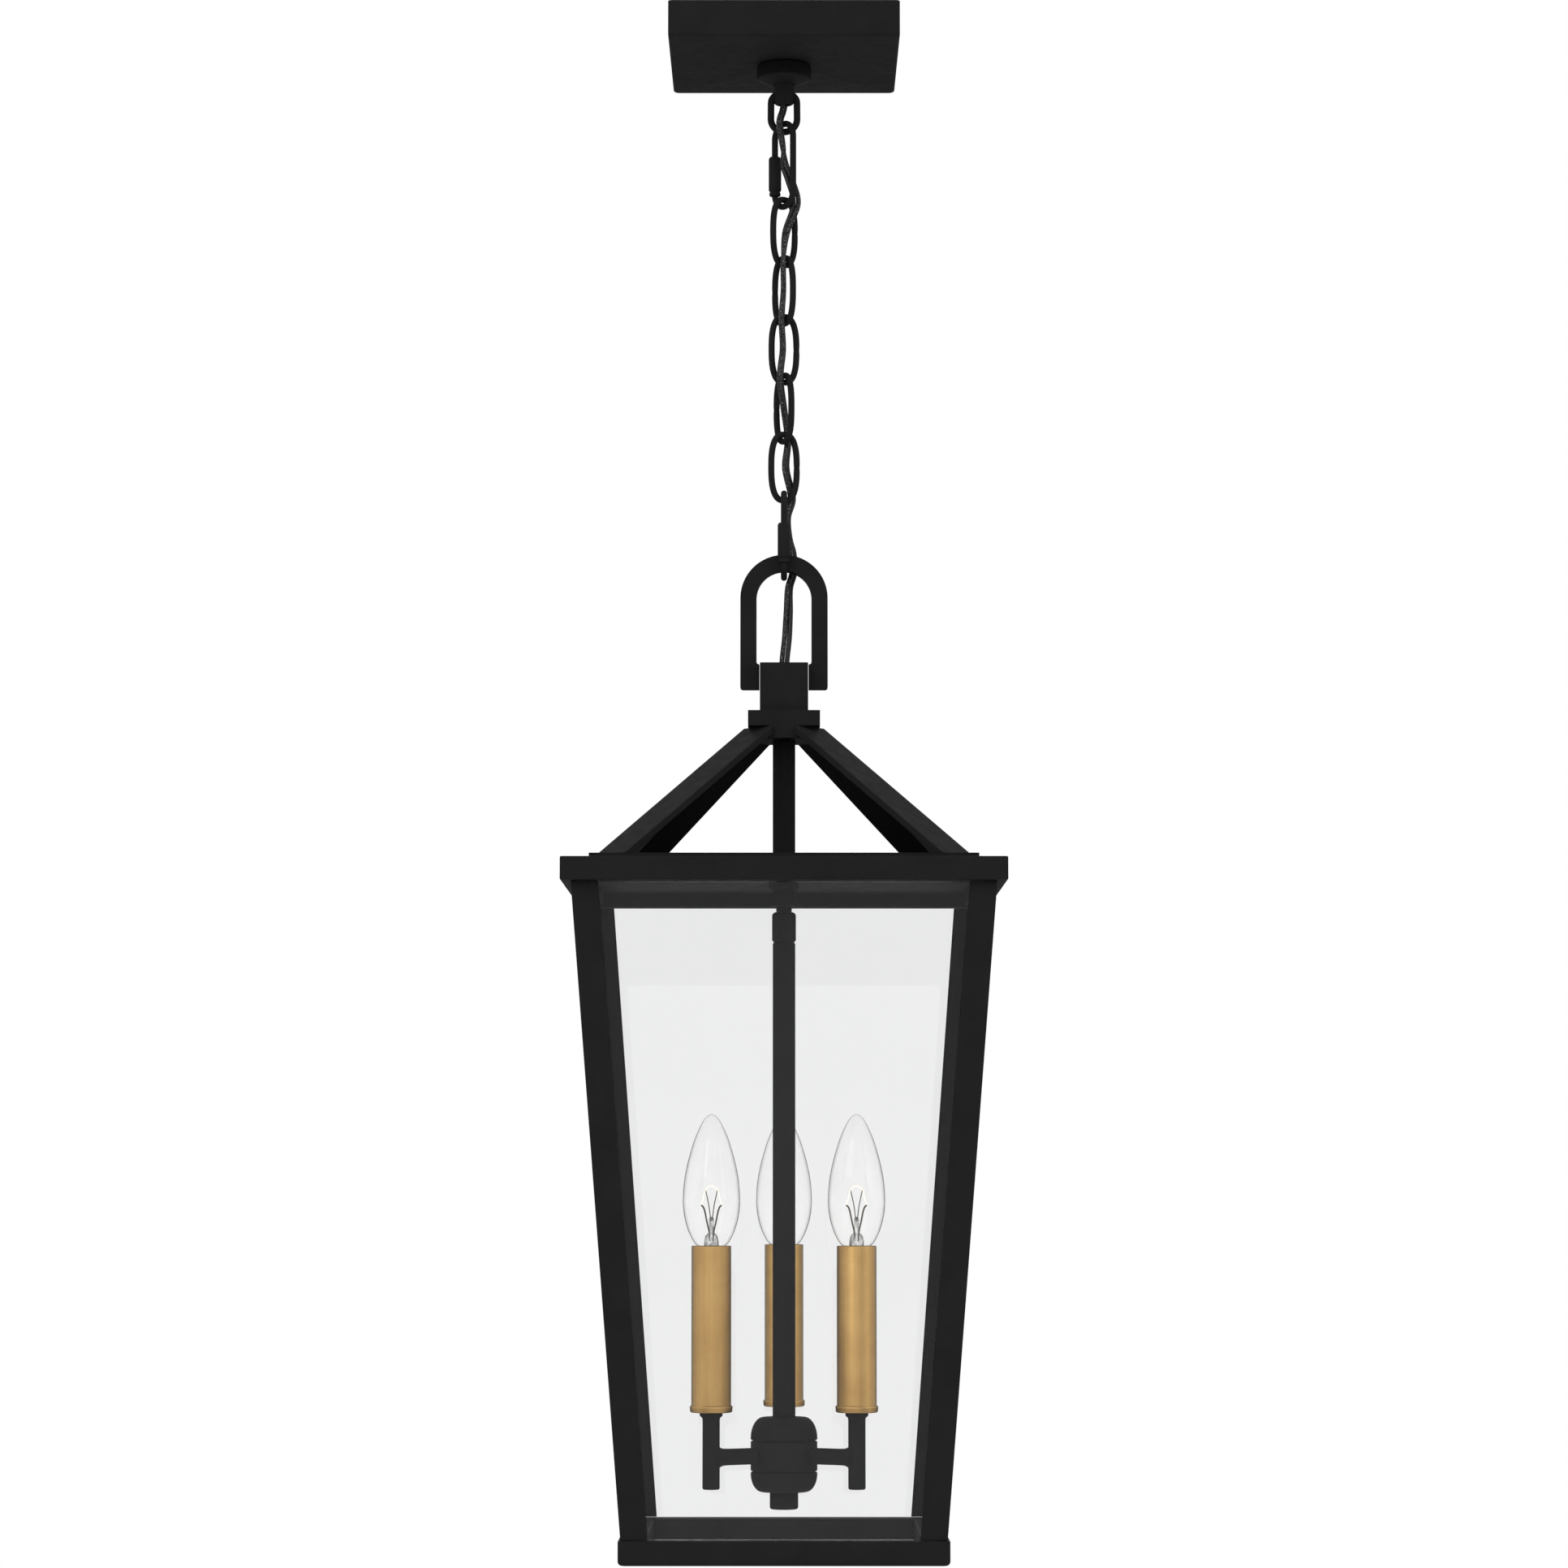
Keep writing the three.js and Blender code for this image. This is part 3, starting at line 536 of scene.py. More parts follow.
def wire_stops():
    """The inner wire's route, down from the ceiling: (z, angle about Z, distance from Z)."""
    middle = -WIRE_SPACING / 2
    joint = [JOINT_Z[name] + (HALF_REST if i else 0) for i, name in enumerate(LINK_JOINTS)]
    top, bottom = high("quick_link_top") - BAR_R, high("quick_link_bottom") - BAR_R
    half = [(a + b) / 2 for a, b in zip(joint, joint[1:])]
    arch = high("yoke")
    block = high("yoke_block")
    return [
        (-2, -115, middle),
        (-44, -115, middle),
        (-47, -115, -1.3),
        (-51, -115, 0.6),
        (top + 2, -115, 3.7),
        (top - HALF_REST, -115, 4.5),
        (top - 16, -100, 1.5),
        (top - 25.4, -45, -1),
        (joint[1] + 14.05, -12, 2.2),
        (joint[1], -8.5, 5.7),
        (half[1], -50, 0.6),
        (joint[2], -93.5, 4.7),
        (half[2], -98, 0.8),
        (joint[3], -104, 4.3),
        (half[3], -107, 0.8),
        (joint[4], -111.5, 4.6),
        (half[4], -112, -1.4),
        (joint[5], -112.5, -7.7),
        (half[5], -122, -3.6),
        (joint[6], -130, -8.9),
        (bottom - 14, -120, -5.6),
        (bottom - 27, -120, -7.8),
        (arch + 2.3, -127, -10.2),
        (arch - 9.7, -127, -10.6),
        (arch - 18.7, -128, -6.6),
        (arch - 34.1, -150, -4.5),
        (arch - 50.1, -170, -3.3),
        (block + 3, -180, -1.9),
        (block - 8, -180, middle),
        (-480, -180, middle),
        (-620, -180, middle),
        (-740, -180, middle),
        (-856, -180, middle),
    ]


def smooth_line(stops, per_span=12):
    """A centripetal Catmull-Rom line through the stops."""
    knots = [stops[0] * 2 - stops[1], *stops, stops[-1] * 2 - stops[-2]]
    line = []
    for before, start, end, after in zip(knots, knots[1:], knots[2:], knots[3:]):
        gap_a = math.sqrt((start - before).length)
        gap_b = math.sqrt((end - start).length)
        gap_c = math.sqrt((after - end).length)
        leave = ((start - before) / gap_a - (end - before) / (gap_a + gap_b) + (end - start) / gap_b) * gap_b
        arrive = ((end - start) / gap_b - (after - start) / (gap_b + gap_c) + (after - end) / gap_c) * gap_b
        for i in range(per_span):
            t = i / per_span
            line.append(
                start * (2 * t**3 - 3 * t**2 + 1)
                + leave * (t**3 - 2 * t**2 + t)
                + end * (3 * t**2 - 2 * t**3)
                + arrive * (t**3 - t**2)
            )
    return [*line, stops[-1]]


def wire_cuts():
    """Levels half way between the joints, where one wire piece meets the next."""
    levels = [JOINT_Z[name] for name in LINK_JOINTS]
    return [(a + b) / 2 for a, b in zip(levels, levels[1:])]


def add_wire(node, outward, material):
    """One supply wire, in a piece for each joint."""
    stops = [polar(distance + outward, angle, z) for z, angle, distance in wire_stops()]
    line = smooth_line(stops)
    frames = path_frames(line)
    bounds = [ABOVE_WIRES, *wire_cuts(), BELOW_WIRES]
    for k, name in enumerate(LINK_JOINTS):
        inside = [i for i, p in enumerate(line) if bounds[k + 1] <= p.z <= bounds[k]]
        first, last = max(inside[0] - 1, 0), inside[-1] + 1
        path = line[first:last]
        piece = make_piece(f"{node}_{k + 1}", [sweep(path, WIRE_R, 16, frames[first:last])], material)
        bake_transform(piece)
        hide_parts(node)


add_wire("wire_live", 0.0, VINYL)
add_wire("wire_return", WIRE_SPACING, BRAID)


# ---- ceiling end
NIPPLE_HOLE_R = 5.1
HUB_HOLE_R = 6.5
GROUND_SCREW_X = -18
LOOP_BAR_R = 2.05  # clear of the quick link when it swings


def add_strap():
    """A punched strap: a slot at each end, and holes for the nipple and the ground screw."""
    node = "mounting_strap"
    length, width = high(node, 0) * 2, high(node, 1) * 2
    bottom, top = ends(node)
    blank = loft([rectangle_loop(length, width, 3.0, z) for z in (bottom, top)])
    piece = finish_piece(node, [blank], ZINC)
    cutters = [lathe([(NIPPLE_HOLE_R, bottom - 1), (NIPPLE_HOLE_R, top + 1)])]
    screw_hole = lathe([(2.2, bottom - 1), (2.2, top + 1)], sides=32)
    cutters.append(moved(screw_hole, (GROUND_SCREW_X, 0, 0)))
    slot_r, slot_half, slot_place = 2.2, 7, 33
    for side in (-1, 1):
        slot = arc(slot_half, 0, slot_r, -90, 90, 8) + arc(-slot_half, 0, slot_r, 90, 270, 8)
        outline = [Vector((x + side * slot_place, y, bottom - 1)) for x, y in slot]
        cutters.append(extruded(outline, (0, 0, top - bottom + 2)))
    carve(piece, cutters)
    round_edges(piece, 0.3)


def threaded(outer_r, depth, bottom, top, pitch):
    """The outer line of a threaded bar, as (radius, z) pairs going up."""
    count = int((top - bottom) / pitch)
    line = []
    for i in range(count):
        z = bottom + (top - bottom) * i / count
        line += [(outer_r - depth, z), (outer_r, z + pitch / 2)]
    return [*line, (outer_r - depth, top)]


def add_nipple():
    """A threaded tube through the strap."""
    bottom, top = ends("nipple")
    bore = 3.3
    section = threaded(high("nipple", 0), 0.5, bottom, top, 1.0) + [(bore, top), (bore, bottom)]
    finish_piece("nipple", [lathe(section, closed=True)], ZINC)


def hexagon(across_flats, scale, z):
    """A hexagon cut back to a circle that is scale times as wide as the flats are apart."""
    corner_r = across_flats / 2 / math.cos(math.pi / 6)
    loop = []
    for i in range(6):
        a, b = polar(corner_r, 60 * i), polar(corner_r, 60 * i + 60)
        loop += [a.lerp(b, k / 6) for k in range(6)]
    reach = across_flats / 2 * scale
    return [Vector((p.x, p.y, 0)).normalized() * min(p.length, reach) + Vector((0, 0, z)) for p in loop]


def hex_nut(across_flats, bore, bottom, top):
    """A hexagon nut, chamfered at both faces."""
    full, face, chamfer = 1 / math.cos(math.pi / 6), 0.97, 0.9
    outlines = [hexagon(across_flats, face, bottom), hexagon(across_flats, full, bottom + chamfer)]
    outlines += [hexagon(across_flats, full, top - chamfer), hexagon(across_flats, face, top)]
    return loft([pulled_round(outlines[0], bore), *outlines, pulled_round(outlines[-1], bore)], closed=True)


def add_ground_screw():
    """A green slotted screw whose head is under the strap."""
    seat = low("mounting_strap") - 0.3
    head = [(0.01, seat - 2.4), *oval_arc((1.4, seat - 1), (2.6, 1.4), range(-90, 1, 15)), (4, seat)]
    shank = threaded(1.9, 0.25, seat, high("ground_screw"), 0.7)
    screw = moved(lathe(head + shank, sides=40), (GROUND_SCREW_X, 0, 0))
    piece = finish_piece("ground_screw", [screw], GREEN)
    corners = [(-5, -0.45), (5, -0.45), (5, 0.45), (-5, 0.45)]
    slot = [Vector((GROUND_SCREW_X + x, y, seat - 3)) for x, y in corners]
    carve(piece, [extruded(slot, (0, 0, 1.5))])


def add_canopy():
    """A square pan with an open top and a hole for the loop's hub."""
    bottom, top = ends("canopy")
    side = high("canopy", 0) * 2
    wall, corner_r, rounding = 1.4, 3.0, 1.6
    foot = rounded_foot(side, corner_r, rounding, bottom, 8)
    inner, inner_corner_r = side - 2 * wall, corner_r - wall
    floor = square_loop(inner, inner_corner_r, bottom + wall, 8)
    loops = [pulled_round(foot[0], HUB_HOLE_R), *foot, square_loop(side, corner_r, top, 8)]
    loops += [square_loop(inner, inner_corner_r, top, 8), floor, pulled_round(floor, HUB_HOLE_R)]
    finish_piece("canopy", [loft(loops, closed=True)], COAT, bevel=0.25)


def knurled(radius, z, depth):
    """A round outline, level at z, with teeth cut into it."""
    teeth, per_tooth = 60, 6
    count = teeth * per_tooth
    loop = []
    for i in range(count):
        cut = depth * (0.5 - 0.5 * math.cos(2 * math.pi * i / per_tooth))
        loop.append(polar(radius - cut, 360 * i / count, z))
    return loop


def add_collar():
    """A screw collar with a coarse straight knurl and a cone under it."""
    bottom, top = ends("screw_collar")
    ring, knurl = high("screw_collar", 0), 1.1
    loops = [knurled(HUB_HOLE_R, bottom, 0), knurled(7.4, bottom, 0), knurled(14.6, bottom + 2.8, 0)]
    loops += [knurled(ring - 0.7, bottom + 3.3, 0.1), knurled(ring - 0.1, bottom + 4.0, knurl)]
    loops += [knurled(ring - 0.1, top - 1.2, knurl), knurled(ring - 0.8, top - 0.4, 0.1)]
    loops += [knurled(ring - 1.6, top, 0), knurled(HUB_HOLE_R, top, 0)]
    finish_piece("screw_collar", [loft(loops, closed=True)], COAT)


def hub_section():
    """The loop's hub: a sleeve up through the canopy that closes in at its rounded foot."""
    outer_r, bore, wire_hole = 6.15, 5.2, 3.3
    bottom, top, step = -46.0, -12, -36.3
    return [(wire_hole, bottom), (4.6, bottom), (5.7, bottom + 0.7), (outer_r, bottom + 2), (outer_r, -30),
            (outer_r, top), (bore, top), (bore, step), (wire_hole, step)]


def loop_path():
    """The loop's centre line: out of the hub, down one leg and up the other."""
    bar_z = JOINT_Z["swing_quick_top"]
    bend = high("canopy_loop", 0) - LOOP_BAR_R
    root = -39.5
    outward = [(bend - 3.4, root), (bend - 1.8, root - 1.4), (bend - 0.5, root - 3.2), (bend, root - 6.0)]
    leg = upright(outward)
    curve = upright(arc(0, bar_z + bend, bend, 0, -180, 28))
    mirror = [Vector((-p.x, 0, p.z)) for p in reversed(leg)]
    return smooth_line(leg, 5)[:-1] + curve + smooth_line(mirror, 5)[1:]


def add_canopy_loop():
    """The hub under the collar and the round-bar loop that is drawn out of it."""
    hub = lathe(hub_section(), closed=True)
    finish_piece("canopy_loop", [hub, sweep(loop_path(), LOOP_BAR_R, 24)], COAT, bevel=0.2)


def add_ceiling_end():
    add_strap()
    add_nipple()
    strap_nut = hex_nut(high("strap_nut", 1) * 2, NIPPLE_HOLE_R, *ends("strap_nut"))
    finish_piece("strap_nut", [strap_nut], ZINC, bevel=0.1)
    add_ground_screw()
    add_canopy()
    add_collar()
    add_canopy_loop()


# ---- chain
LINK_YAWS = [33, -46, 16, -55, 10]
QUICK_YAWS = {"top": 130, "bottom": -90}
LINK_WIDTH, QUICK_WIDTH = 19.3, 20.8
LINK_DROP, QUICK_DROP = 39.95, 50.8  # from a link's upper bar to its lower bar, centre to centre
LINK_SEAM = 0.3
LINK_FULLNESS = 0.76  # 1 is an ellipse, and less has flatter sides
QUICK_MOUTH = 8.0


def quick_path(width, drop, mouth_z):
    """A quick link's centre line, hung from z = 0, from under its mouth round to over it."""
    bend = width / 2
    below, above = mouth_z - QUICK_MOUTH / 2, mouth_z + QUICK_MOUTH / 2
    line = [(bend, below), (bend, below - 1.0)]
    line += arc(0, bend - drop, bend, 0, -180, 28) + [(-bend, -drop / 2)] + arc(0, -bend, bend, 180, 0, 28)
    line += [(bend, above + 1.0), (bend, above)]
    return upright(line)


def link_path(width, drop, steps=80):
    """A chain link's centre line: an oval with flattened sides that narrows to its ends."""
    start = math.asin((LINK_SEAM / drop) ** (1 / LINK_FULLNESS))
    path = []
    for i in range(steps + 1):
        angle = -start - (2 * math.pi - 2 * start) * i / steps
        turns = (math.cos(angle), math.sin(angle))
        across, along = (math.copysign(abs(v) ** LINK_FULLNESS, v) for v in turns)
        path.append(Vector((width / 2 * across, 0, drop / 2 * (along - 1))))
    return path


def add_chain_link(i, yaw):
    """A link of bent bar with slightly necked ends, which face opposite ways from link to link."""
    node = f"chain_link_{i}"
    top = (high(node) + low(node) + LINK_DROP) / 2
    path = link_path(LINK_WIDTH - 2 * BAR_R, LINK_DROP)
    radii = [BAR_R] * len(path)
    radii[0] = radii[-1] = BAR_R - 0.12
    turn = yaw + 180 * ((i - 1) % 2)
    finish_piece(node, [moved(sweep(path, radii, 24), (0, 0, top), turn)], COAT, bevel=0.1)


def sleeve_nut_section(bottom, top):
    """A sleeve nut: a short neck at its foot, a groove, and the barrel above."""
    bore, neck, groove, barrel = 2.2, 3.4, 3.0, 3.8
    step = bottom + 3.4
    return [(bore, bottom), (neck - 0.35, bottom), (neck, bottom + 0.4), (neck, step - 1.5),
            (groove, step - 1.1), (groove, step - 0.7), (barrel - 0.3, step - 0.3), (barrel, step + 0.3),
            (barrel, top - 1.4), (barrel - 0.3, top - 0.6), (groove, top), (bore, top)]


def add_quick_link(end, yaw):
    """An oval link whose mouth is closed by a long sleeve nut."""
    node, nut = f"quick_link_{end}", f"quick_nut_{end}"
    top = (high(node) + low(node) + QUICK_DROP) / 2
    leg = QUICK_WIDTH / 2 - BAR_R
    foot, crown = low(nut) - top, high(nut) - top
    path = quick_path(2 * leg, QUICK_DROP, foot + QUICK_MOUTH)
    finish_piece(node, [moved(sweep(path, BAR_R, 24), (0, 0, top), yaw)], COAT, bevel=0.15)
    sleeve = moved(lathe(sleeve_nut_section(foot, crown), closed=True, sides=48), (leg, 0, 0))
    finish_piece(nut, [moved(sleeve, (0, 0, top), yaw)], COAT, bevel=0.15)


def add_chain():
    for end, yaw in QUICK_YAWS.items():
        add_quick_link(end, yaw)
    for i, yaw in enumerate(LINK_YAWS, 1):
        add_chain_link(i, yaw)


# ---- yoke and roof
WIREWAY_R = 4.5  # bore that the supply wires run down
YOKE_INNER_R = 16.4
BOSS_HALF_FACE = 8.6
HUB_CAP_HEIGHT = 9.1
RAIL_WIDTH = 15.4
CORNERS = {"rear_right": 45, "rear_left": 135, "front_left": 225, "front_right": 315}


def add_yoke():
    """A flat inverted U whose feet step in under its legs to meet the block."""
    outer, half = high("yoke", 0), high("yoke", 1)
    inner, centre = YOKE_INNER_R, high("yoke") - outer
    foot, block_top = low("yoke"), high("yoke_block")
    feet = high("yoke_block", 0) + 0.3
    r = 1.6
    outline = [(feet, foot)] + arc(outer - r, foot + r, r, -90, 0, 4) + arc(0, centre, outer, 0, 180, 48)
    outline += arc(r - outer, foot + r, r, 180, 270, 4) + [(-feet, foot), (-feet, block_top)]
    outline += arc(r - inner, block_top + r, r, 270, 180, 4) + arc(0, centre, inner, 180, 0, 40)
    outline += arc(inner - r, block_top + r, r, 0, -90, 4) + [(feet, block_top)]
    finish_piece("yoke", [extruded(upright(outline, -half), (0, 2 * half, 0))], COAT, bevel=0.7)


def drilled(foot, head):
    """A block between two outlines, with the wireway up through it."""
    return loft([pulled_round(foot, WIREWAY_R), foot, head, pulled_round(head, WIREWAY_R)], closed=True)


def drilled_square(side, corner_r, bottom, top):
    return drilled(square_loop(side, corner_r, bottom), square_loop(side, corner_r, top))


def boss_outline(z):
    """The boss's eight-sided outline, level at z: four wide faces and four cut corners."""
    corners = [Vector((high("roof_hub", 0), y, 0)) for y in (-BOSS_HALF_FACE, BOSS_HALF_FACE)]
    outline = []
    for k in range(4):
        start, end = (Matrix.Rotation(math.pi / 2 * k, 4, "Z") @ p for p in corners)
        outline += [start.lerp(end, t / 4) for t in range(5)]
    return [Vector((p.x, p.y, z)) for p in outline]


def add_roof_hub():
    """The square cap and, under it, the eight-sided boss that the bars butt against."""
    bottom, top = ends("roof_hub")
    cap_bottom = top - HUB_CAP_HEIGHT
    boss = drilled(boss_outline(bottom), boss_outline(cap_bottom))
    cap = drilled_square(2 * high("roof_hub", 0), 0.6, cap_bottom, top)
    finish_piece("roof_hub", [cap, boss], COAT, bevel=0.45)


def add_roof_bars():
    """Flat bars down the diagonals, cut upright at the top and level at the foot."""
    bottom, top = ends("roof_bar_rear_right")
    half_width, thickness = 12.3, 4.0
    start = (high("roof_hub", 0) + BOSS_HALF_FACE) / math.sqrt(2) + 0.3
    foot = 140.6
    slope = math.atan2(top - bottom, foot - start)
    side = [(start, top), (start, top - thickness / math.cos(slope))]
    side += [(foot - thickness / math.sin(slope), bottom), (foot, bottom)]
    bar = extruded(upright(side, -half_width), (0, 2 * half_width, 0))
    for corner, turn in CORNERS.items():
        finish_piece(f"roof_bar_{corner}", [moved(bar, turn=turn)], COAT, bevel=0.6)


def add_ring(node, outside, bevel):
    """A square frame. outside holds its outer loops, going up."""
    bottom, top = ends(node)
    inner = high(node, 0) * 2 - 2 * RAIL_WIDTH
    loops = [*outside, square_loop(inner, 0.8, top), square_loop(inner, 0.8, bottom)]
    finish_piece(node, [loft(loops, closed=True)], COAT, bevel=bevel)


def add_rings():
    """The bottom ring is rounded off underneath."""
    side = high("top_ring", 0) * 2
    add_ring("top_ring", [square_loop(side, 0.8, z) for z in ends("top_ring")], 0.8)
    side, (bottom, top) = high("bottom_ring", 0) * 2, ends("bottom_ring")
    corner_r, rounding = 2.2, 2.6
    foot = rounded_foot(side, corner_r, rounding, bottom, 5)
    add_ring("bottom_ring", [*foot, square_loop(side, corner_r, top)], 0.6)


def add_rail_screw(place):
    """A round-head screw with a crosswise slot, on the rear rail's inner face."""
    node = f"rail_screw_{place}"
    x, z = (low(node, 0) + high(node, 0)) / 2, (low(node) + high(node)) / 2
    front, back = low(node, 1), high(node, 1)
    head_r, rim = 3.0, 0.4
    dome = [(head_r, 0), (head_r, rim), *oval_arc((0, rim), (head_r, back - front - rim), range(15, 86, 10))]
    points, faces = lathe(dome, sides=40)
    face = Matrix.Translation((x, back, z)) @ Matrix.Rotation(math.pi / 2, 4, "X")
    piece = finish_piece(node, [([face @ p for p in points], faces)], COAT)
    slots = []
    for half_x, half_z in ((1.7, 0.3), (0.3, 1.7)):
        corners = [(-half_x, -half_z), (half_x, -half_z), (half_x, half_z), (-half_x, half_z)]
        slots.append(extruded([Vector((x + a, front - 1, z + b)) for a, b in corners], (0, 1.9, 0)))
    carve(piece, slots)
    round_edges(piece, 0.1, 2)


def add_tube(node, outer_r, bevel):
    """A plain tube with the wireway up through it."""
    bottom, top = ends(node)
    section = [(outer_r, bottom), (outer_r, top), (WIREWAY_R, top), (WIREWAY_R, bottom)]
    finish_piece(node, [lathe(section, closed=True)], COAT, bevel=bevel)


def add_roof():
    add_yoke()
    block = drilled_square(high("yoke_block", 0) * 2, 1.3, *ends("yoke_block"))
    finish_piece("yoke_block", [block], COAT, bevel=0.5)
    add_roof_hub()
    add_roof_bars()
    add_tube("upper_rod", high("upper_rod", 0), 0.3)
    plate = drilled_square(high("roof_plate", 0) * 2, 0.8, *ends("roof_plate"))
    finish_piece("roof_plate", [plate], COAT, bevel=0.6)
    add_rings()
    add_rail_screw("left")
    add_rail_screw("right")


# ---- posts and panes
POST_LEG = 15.4
PANE_THICKNESS = 2.5


def leaning_loop(outline, half, z):
    """An outline round the +X +Y corner, its outer corner at (half, half), level at z."""
    return [Vector((half + x, half + y, z)) for x, y in outline]


def add_posts():
    """Angle section, rounded at its heel, that leans out as it rises."""
    wall, heel, outer_r = 2.0, 1.0, 0.9
    inside = -wall - heel
    angle = arc(-outer_r, -outer_r, outer_r, 0, 90, 4) + [(-POST_LEG, 0), (-POST_LEG, -wall)]
    angle += arc(inside, inside, heel, 90, 0, 3) + [(-wall, -POST_LEG), (0, -POST_LEG)]
    node = "corner_post_rear_right"
    bottom, top = ends(node)
    foot = leaning_loop(angle, low(node, 0) + POST_LEG, bottom)
    head = leaning_loop(angle, high(node, 0), top)
    for corner, turn in CORNERS.items():
        post = moved(loft([foot, head]), turn=turn - 45)
        finish_piece(f"corner_post_{corner}", [post], COAT, bevel=0.35)


def post_lean():
    """How far a post leans out for each millimetre that it rises."""
    node = "corner_post_rear_right"
    return (high(node, 0) - low(node, 0) - POST_LEG) / (high(node) - low(node))


def add_panes():
    """Flat clear panes that lean out with the posts; each laps the end of the next."""
    node = "glass_rear"
    bottom, top = ends(node)
    left, right, face = low(node, 0), high(node, 0), high(node, 1)
    inset = post_lean() * (top - bottom)
    outline = [(left, face, top), (left + inset, face - inset, bottom)]
    outline += [(right - inset, face - inset, bottom), (right, face, top)]
    pane = extruded([Vector(p) for p in outline], (0, -PANE_THICKNESS, 0))
    for k, side in enumerate(["rear", "left", "front", "right"]):
        finish_piece(f"glass_{side}", [moved(pane, turn=90 * k)], PANE_GLASS, bevel=0.2, segments=2)


# ---- stem and cluster
def add_coupling():
    """A collar round the top of a thinner neck."""
    bottom, top = ends("coupling")
    bore, neck, collar, step = 3.2, 4.65, 7.3, top - 9.7
    section = [(bore, bottom), (neck, bottom), (neck, step), (collar - 0.4, step), (collar, step + 0.5)]
    section += [(collar, top - 1.6), (collar - 0.9, top), (bore, top)]
    finish_piece("coupling", [lathe(section, closed=True)], COAT, bevel=0.2)


def add_stem_sleeve():
    """A sleeve that is rounded off above and turned down at its foot."""
    bottom, top = ends("stem_sleeve")
    r, rounding, mouth = high("stem_sleeve", 0), 2.4, 3.6
    section = [(WIREWAY_R, bottom), (r - 0.8, bottom), (r - 0.8, bottom + 0.8), (r, bottom + 1.4)]
    section += oval_arc((r - rounding, top - rounding), (rounding, rounding), range(0, 91, 10))
    section += [(mouth, top), (mouth, top - 1.5), (WIREWAY_R, top - 1.5)]
    finish_piece("stem_sleeve", [lathe(section, closed=True)], COAT, bevel=0.15)


def add_stem():
    plate_nut = hex_nut(high("plate_nut", 1) * 2, WIREWAY_R, *ends("plate_nut"))
    finish_piece("plate_nut", [plate_nut], COAT, bevel=0.1)
    add_coupling()
    add_stem_sleeve()
    add_tube("stem", high("stem", 0) + 0.1, 0.2)


def seam_edge(r, z, way):
    """A turned piece's rounded edge at a seam. way is 1 above the seam and -1 below it."""
    return [(r - 1.6, z), (r - 0.5, z + way * 0.2), (r, z + way * 0.6)]


def add_cluster():
    """A turned drum between two domed caps, with fine seams between them."""
    r = high("cluster_body", 0)
    seam, top = ends("cluster_cap_top")
    flat, edge = 12.2, 1.2
    dome = oval_arc((flat, seam + edge), (r - flat, top - seam - edge), range(0, 91, 7))
    cap = [(WIREWAY_R, seam), *seam_edge(r, seam, 1), *dome, (WIREWAY_R, top)]
    low_z, high_z = ends("cluster_body")
    bore = 15
    drum = [(bore, low_z), *seam_edge(r, low_z, 1), *reversed(seam_edge(r, high_z, -1)), (bore, high_z)]
    bottom, seam = ends("cluster_cap_bottom")
    flat, edge, screw_hole = 13.0, 1.0, 2.2
    dome = oval_arc((flat, seam - edge), (r - flat, seam - edge - bottom), range(-90, 1, 7))
    cup = [(screw_hole, bottom), *dome, *reversed(seam_edge(r, seam, -1)), (screw_hole, seam)]
    for part, section in (("cap_top", cap), ("body", drum), ("cap_bottom", cup)):
        finish_piece(f"cluster_{part}", [lathe(section, closed=True, sides=96)], COAT)


def add_finial():
    """A plain round knob with a rounded foot."""
    bottom, top = ends("finial")
    r, rounding = high("finial", 0), 1.4
    edge = oval_arc((r - rounding, bottom + rounding), (rounding, rounding), range(-75, 1, 15))
    knob = [(r - rounding, bottom), *edge, (r, top - 0.3), (r - 0.3, top)]
    finish_piece("finial", [lathe(knob)], COAT)


CANDLES = {"rear": 90, "left": 210, "right": 330}
CANDLE_CIRCLE_R = 49.0
ARM_LEVEL = -854.6
BULB_GLASS_HEIGHT = 79.0  # from the neck to the tip


def add_arm(place, angle):
    """A level tube that flares into an upright post, and the post's seat."""
    node = f"candle_arm_{place}"
    foot, seat = ends(node)
    start = high("cluster_body", 0) + 0.3
    run = CANDLE_CIRCLE_R - start
    stations = [0, 0.03, 0.3, 0.5, 0.62, 0.70, 0.76, 0.80, 0.84, 0.95]
    radii = [5.5, 4.8, 4.8, 4.8, 4.8, 4.9, 5.2, 5.6, 6.3, 6.3]
    tube = sweep([Vector((start + run * t, 0, ARM_LEVEL)) for t in stations], radii, 48)
    section = [(4.2, foot), (4.8, foot + 0.25), (5.05, foot + 0.9), (5.05, seat - 3.6), (5.4, seat - 2.6)]
    section += [(6.4, seat - 1.9), (6.7, seat - 1.2), (6.7, seat)]
    post = moved(lathe(section, sides=64), polar(CANDLE_CIRCLE_R, angle))
    finish_piece(node, [moved(tube, turn=angle), post], COAT)


def add_candle_sleeve(place, centre):
    """A thin brass tube with a rolled ring round its foot."""
    node = f"candle_sleeve_{place}"
    bottom, top = ends(node)
    r, ring, hole, wall = 11.6, 12.5, 2.4, 1.0
    foot = [(hole, 0), (ring - 1.2, 0), (ring - 0.45, 0.35), (ring - 0.1, 1.1), (ring - 0.2, 1.9)]
    foot += [(ring, 2.5), (ring, 3.4), (ring - 0.4, 3.9), (r, 4.2)]
    section = [(radius, bottom + z) for radius, z in foot]
    section += [(r, top - 0.3), (r - 0.3, top), (r - 0.9, top), (r - wall, top - 0.3)]
    section += [(r - wall, bottom + 1.2), (hole, bottom + 1.2)]
    finish_piece(node, [moved(lathe(section, closed=True, sides=96), centre)], BRASS)


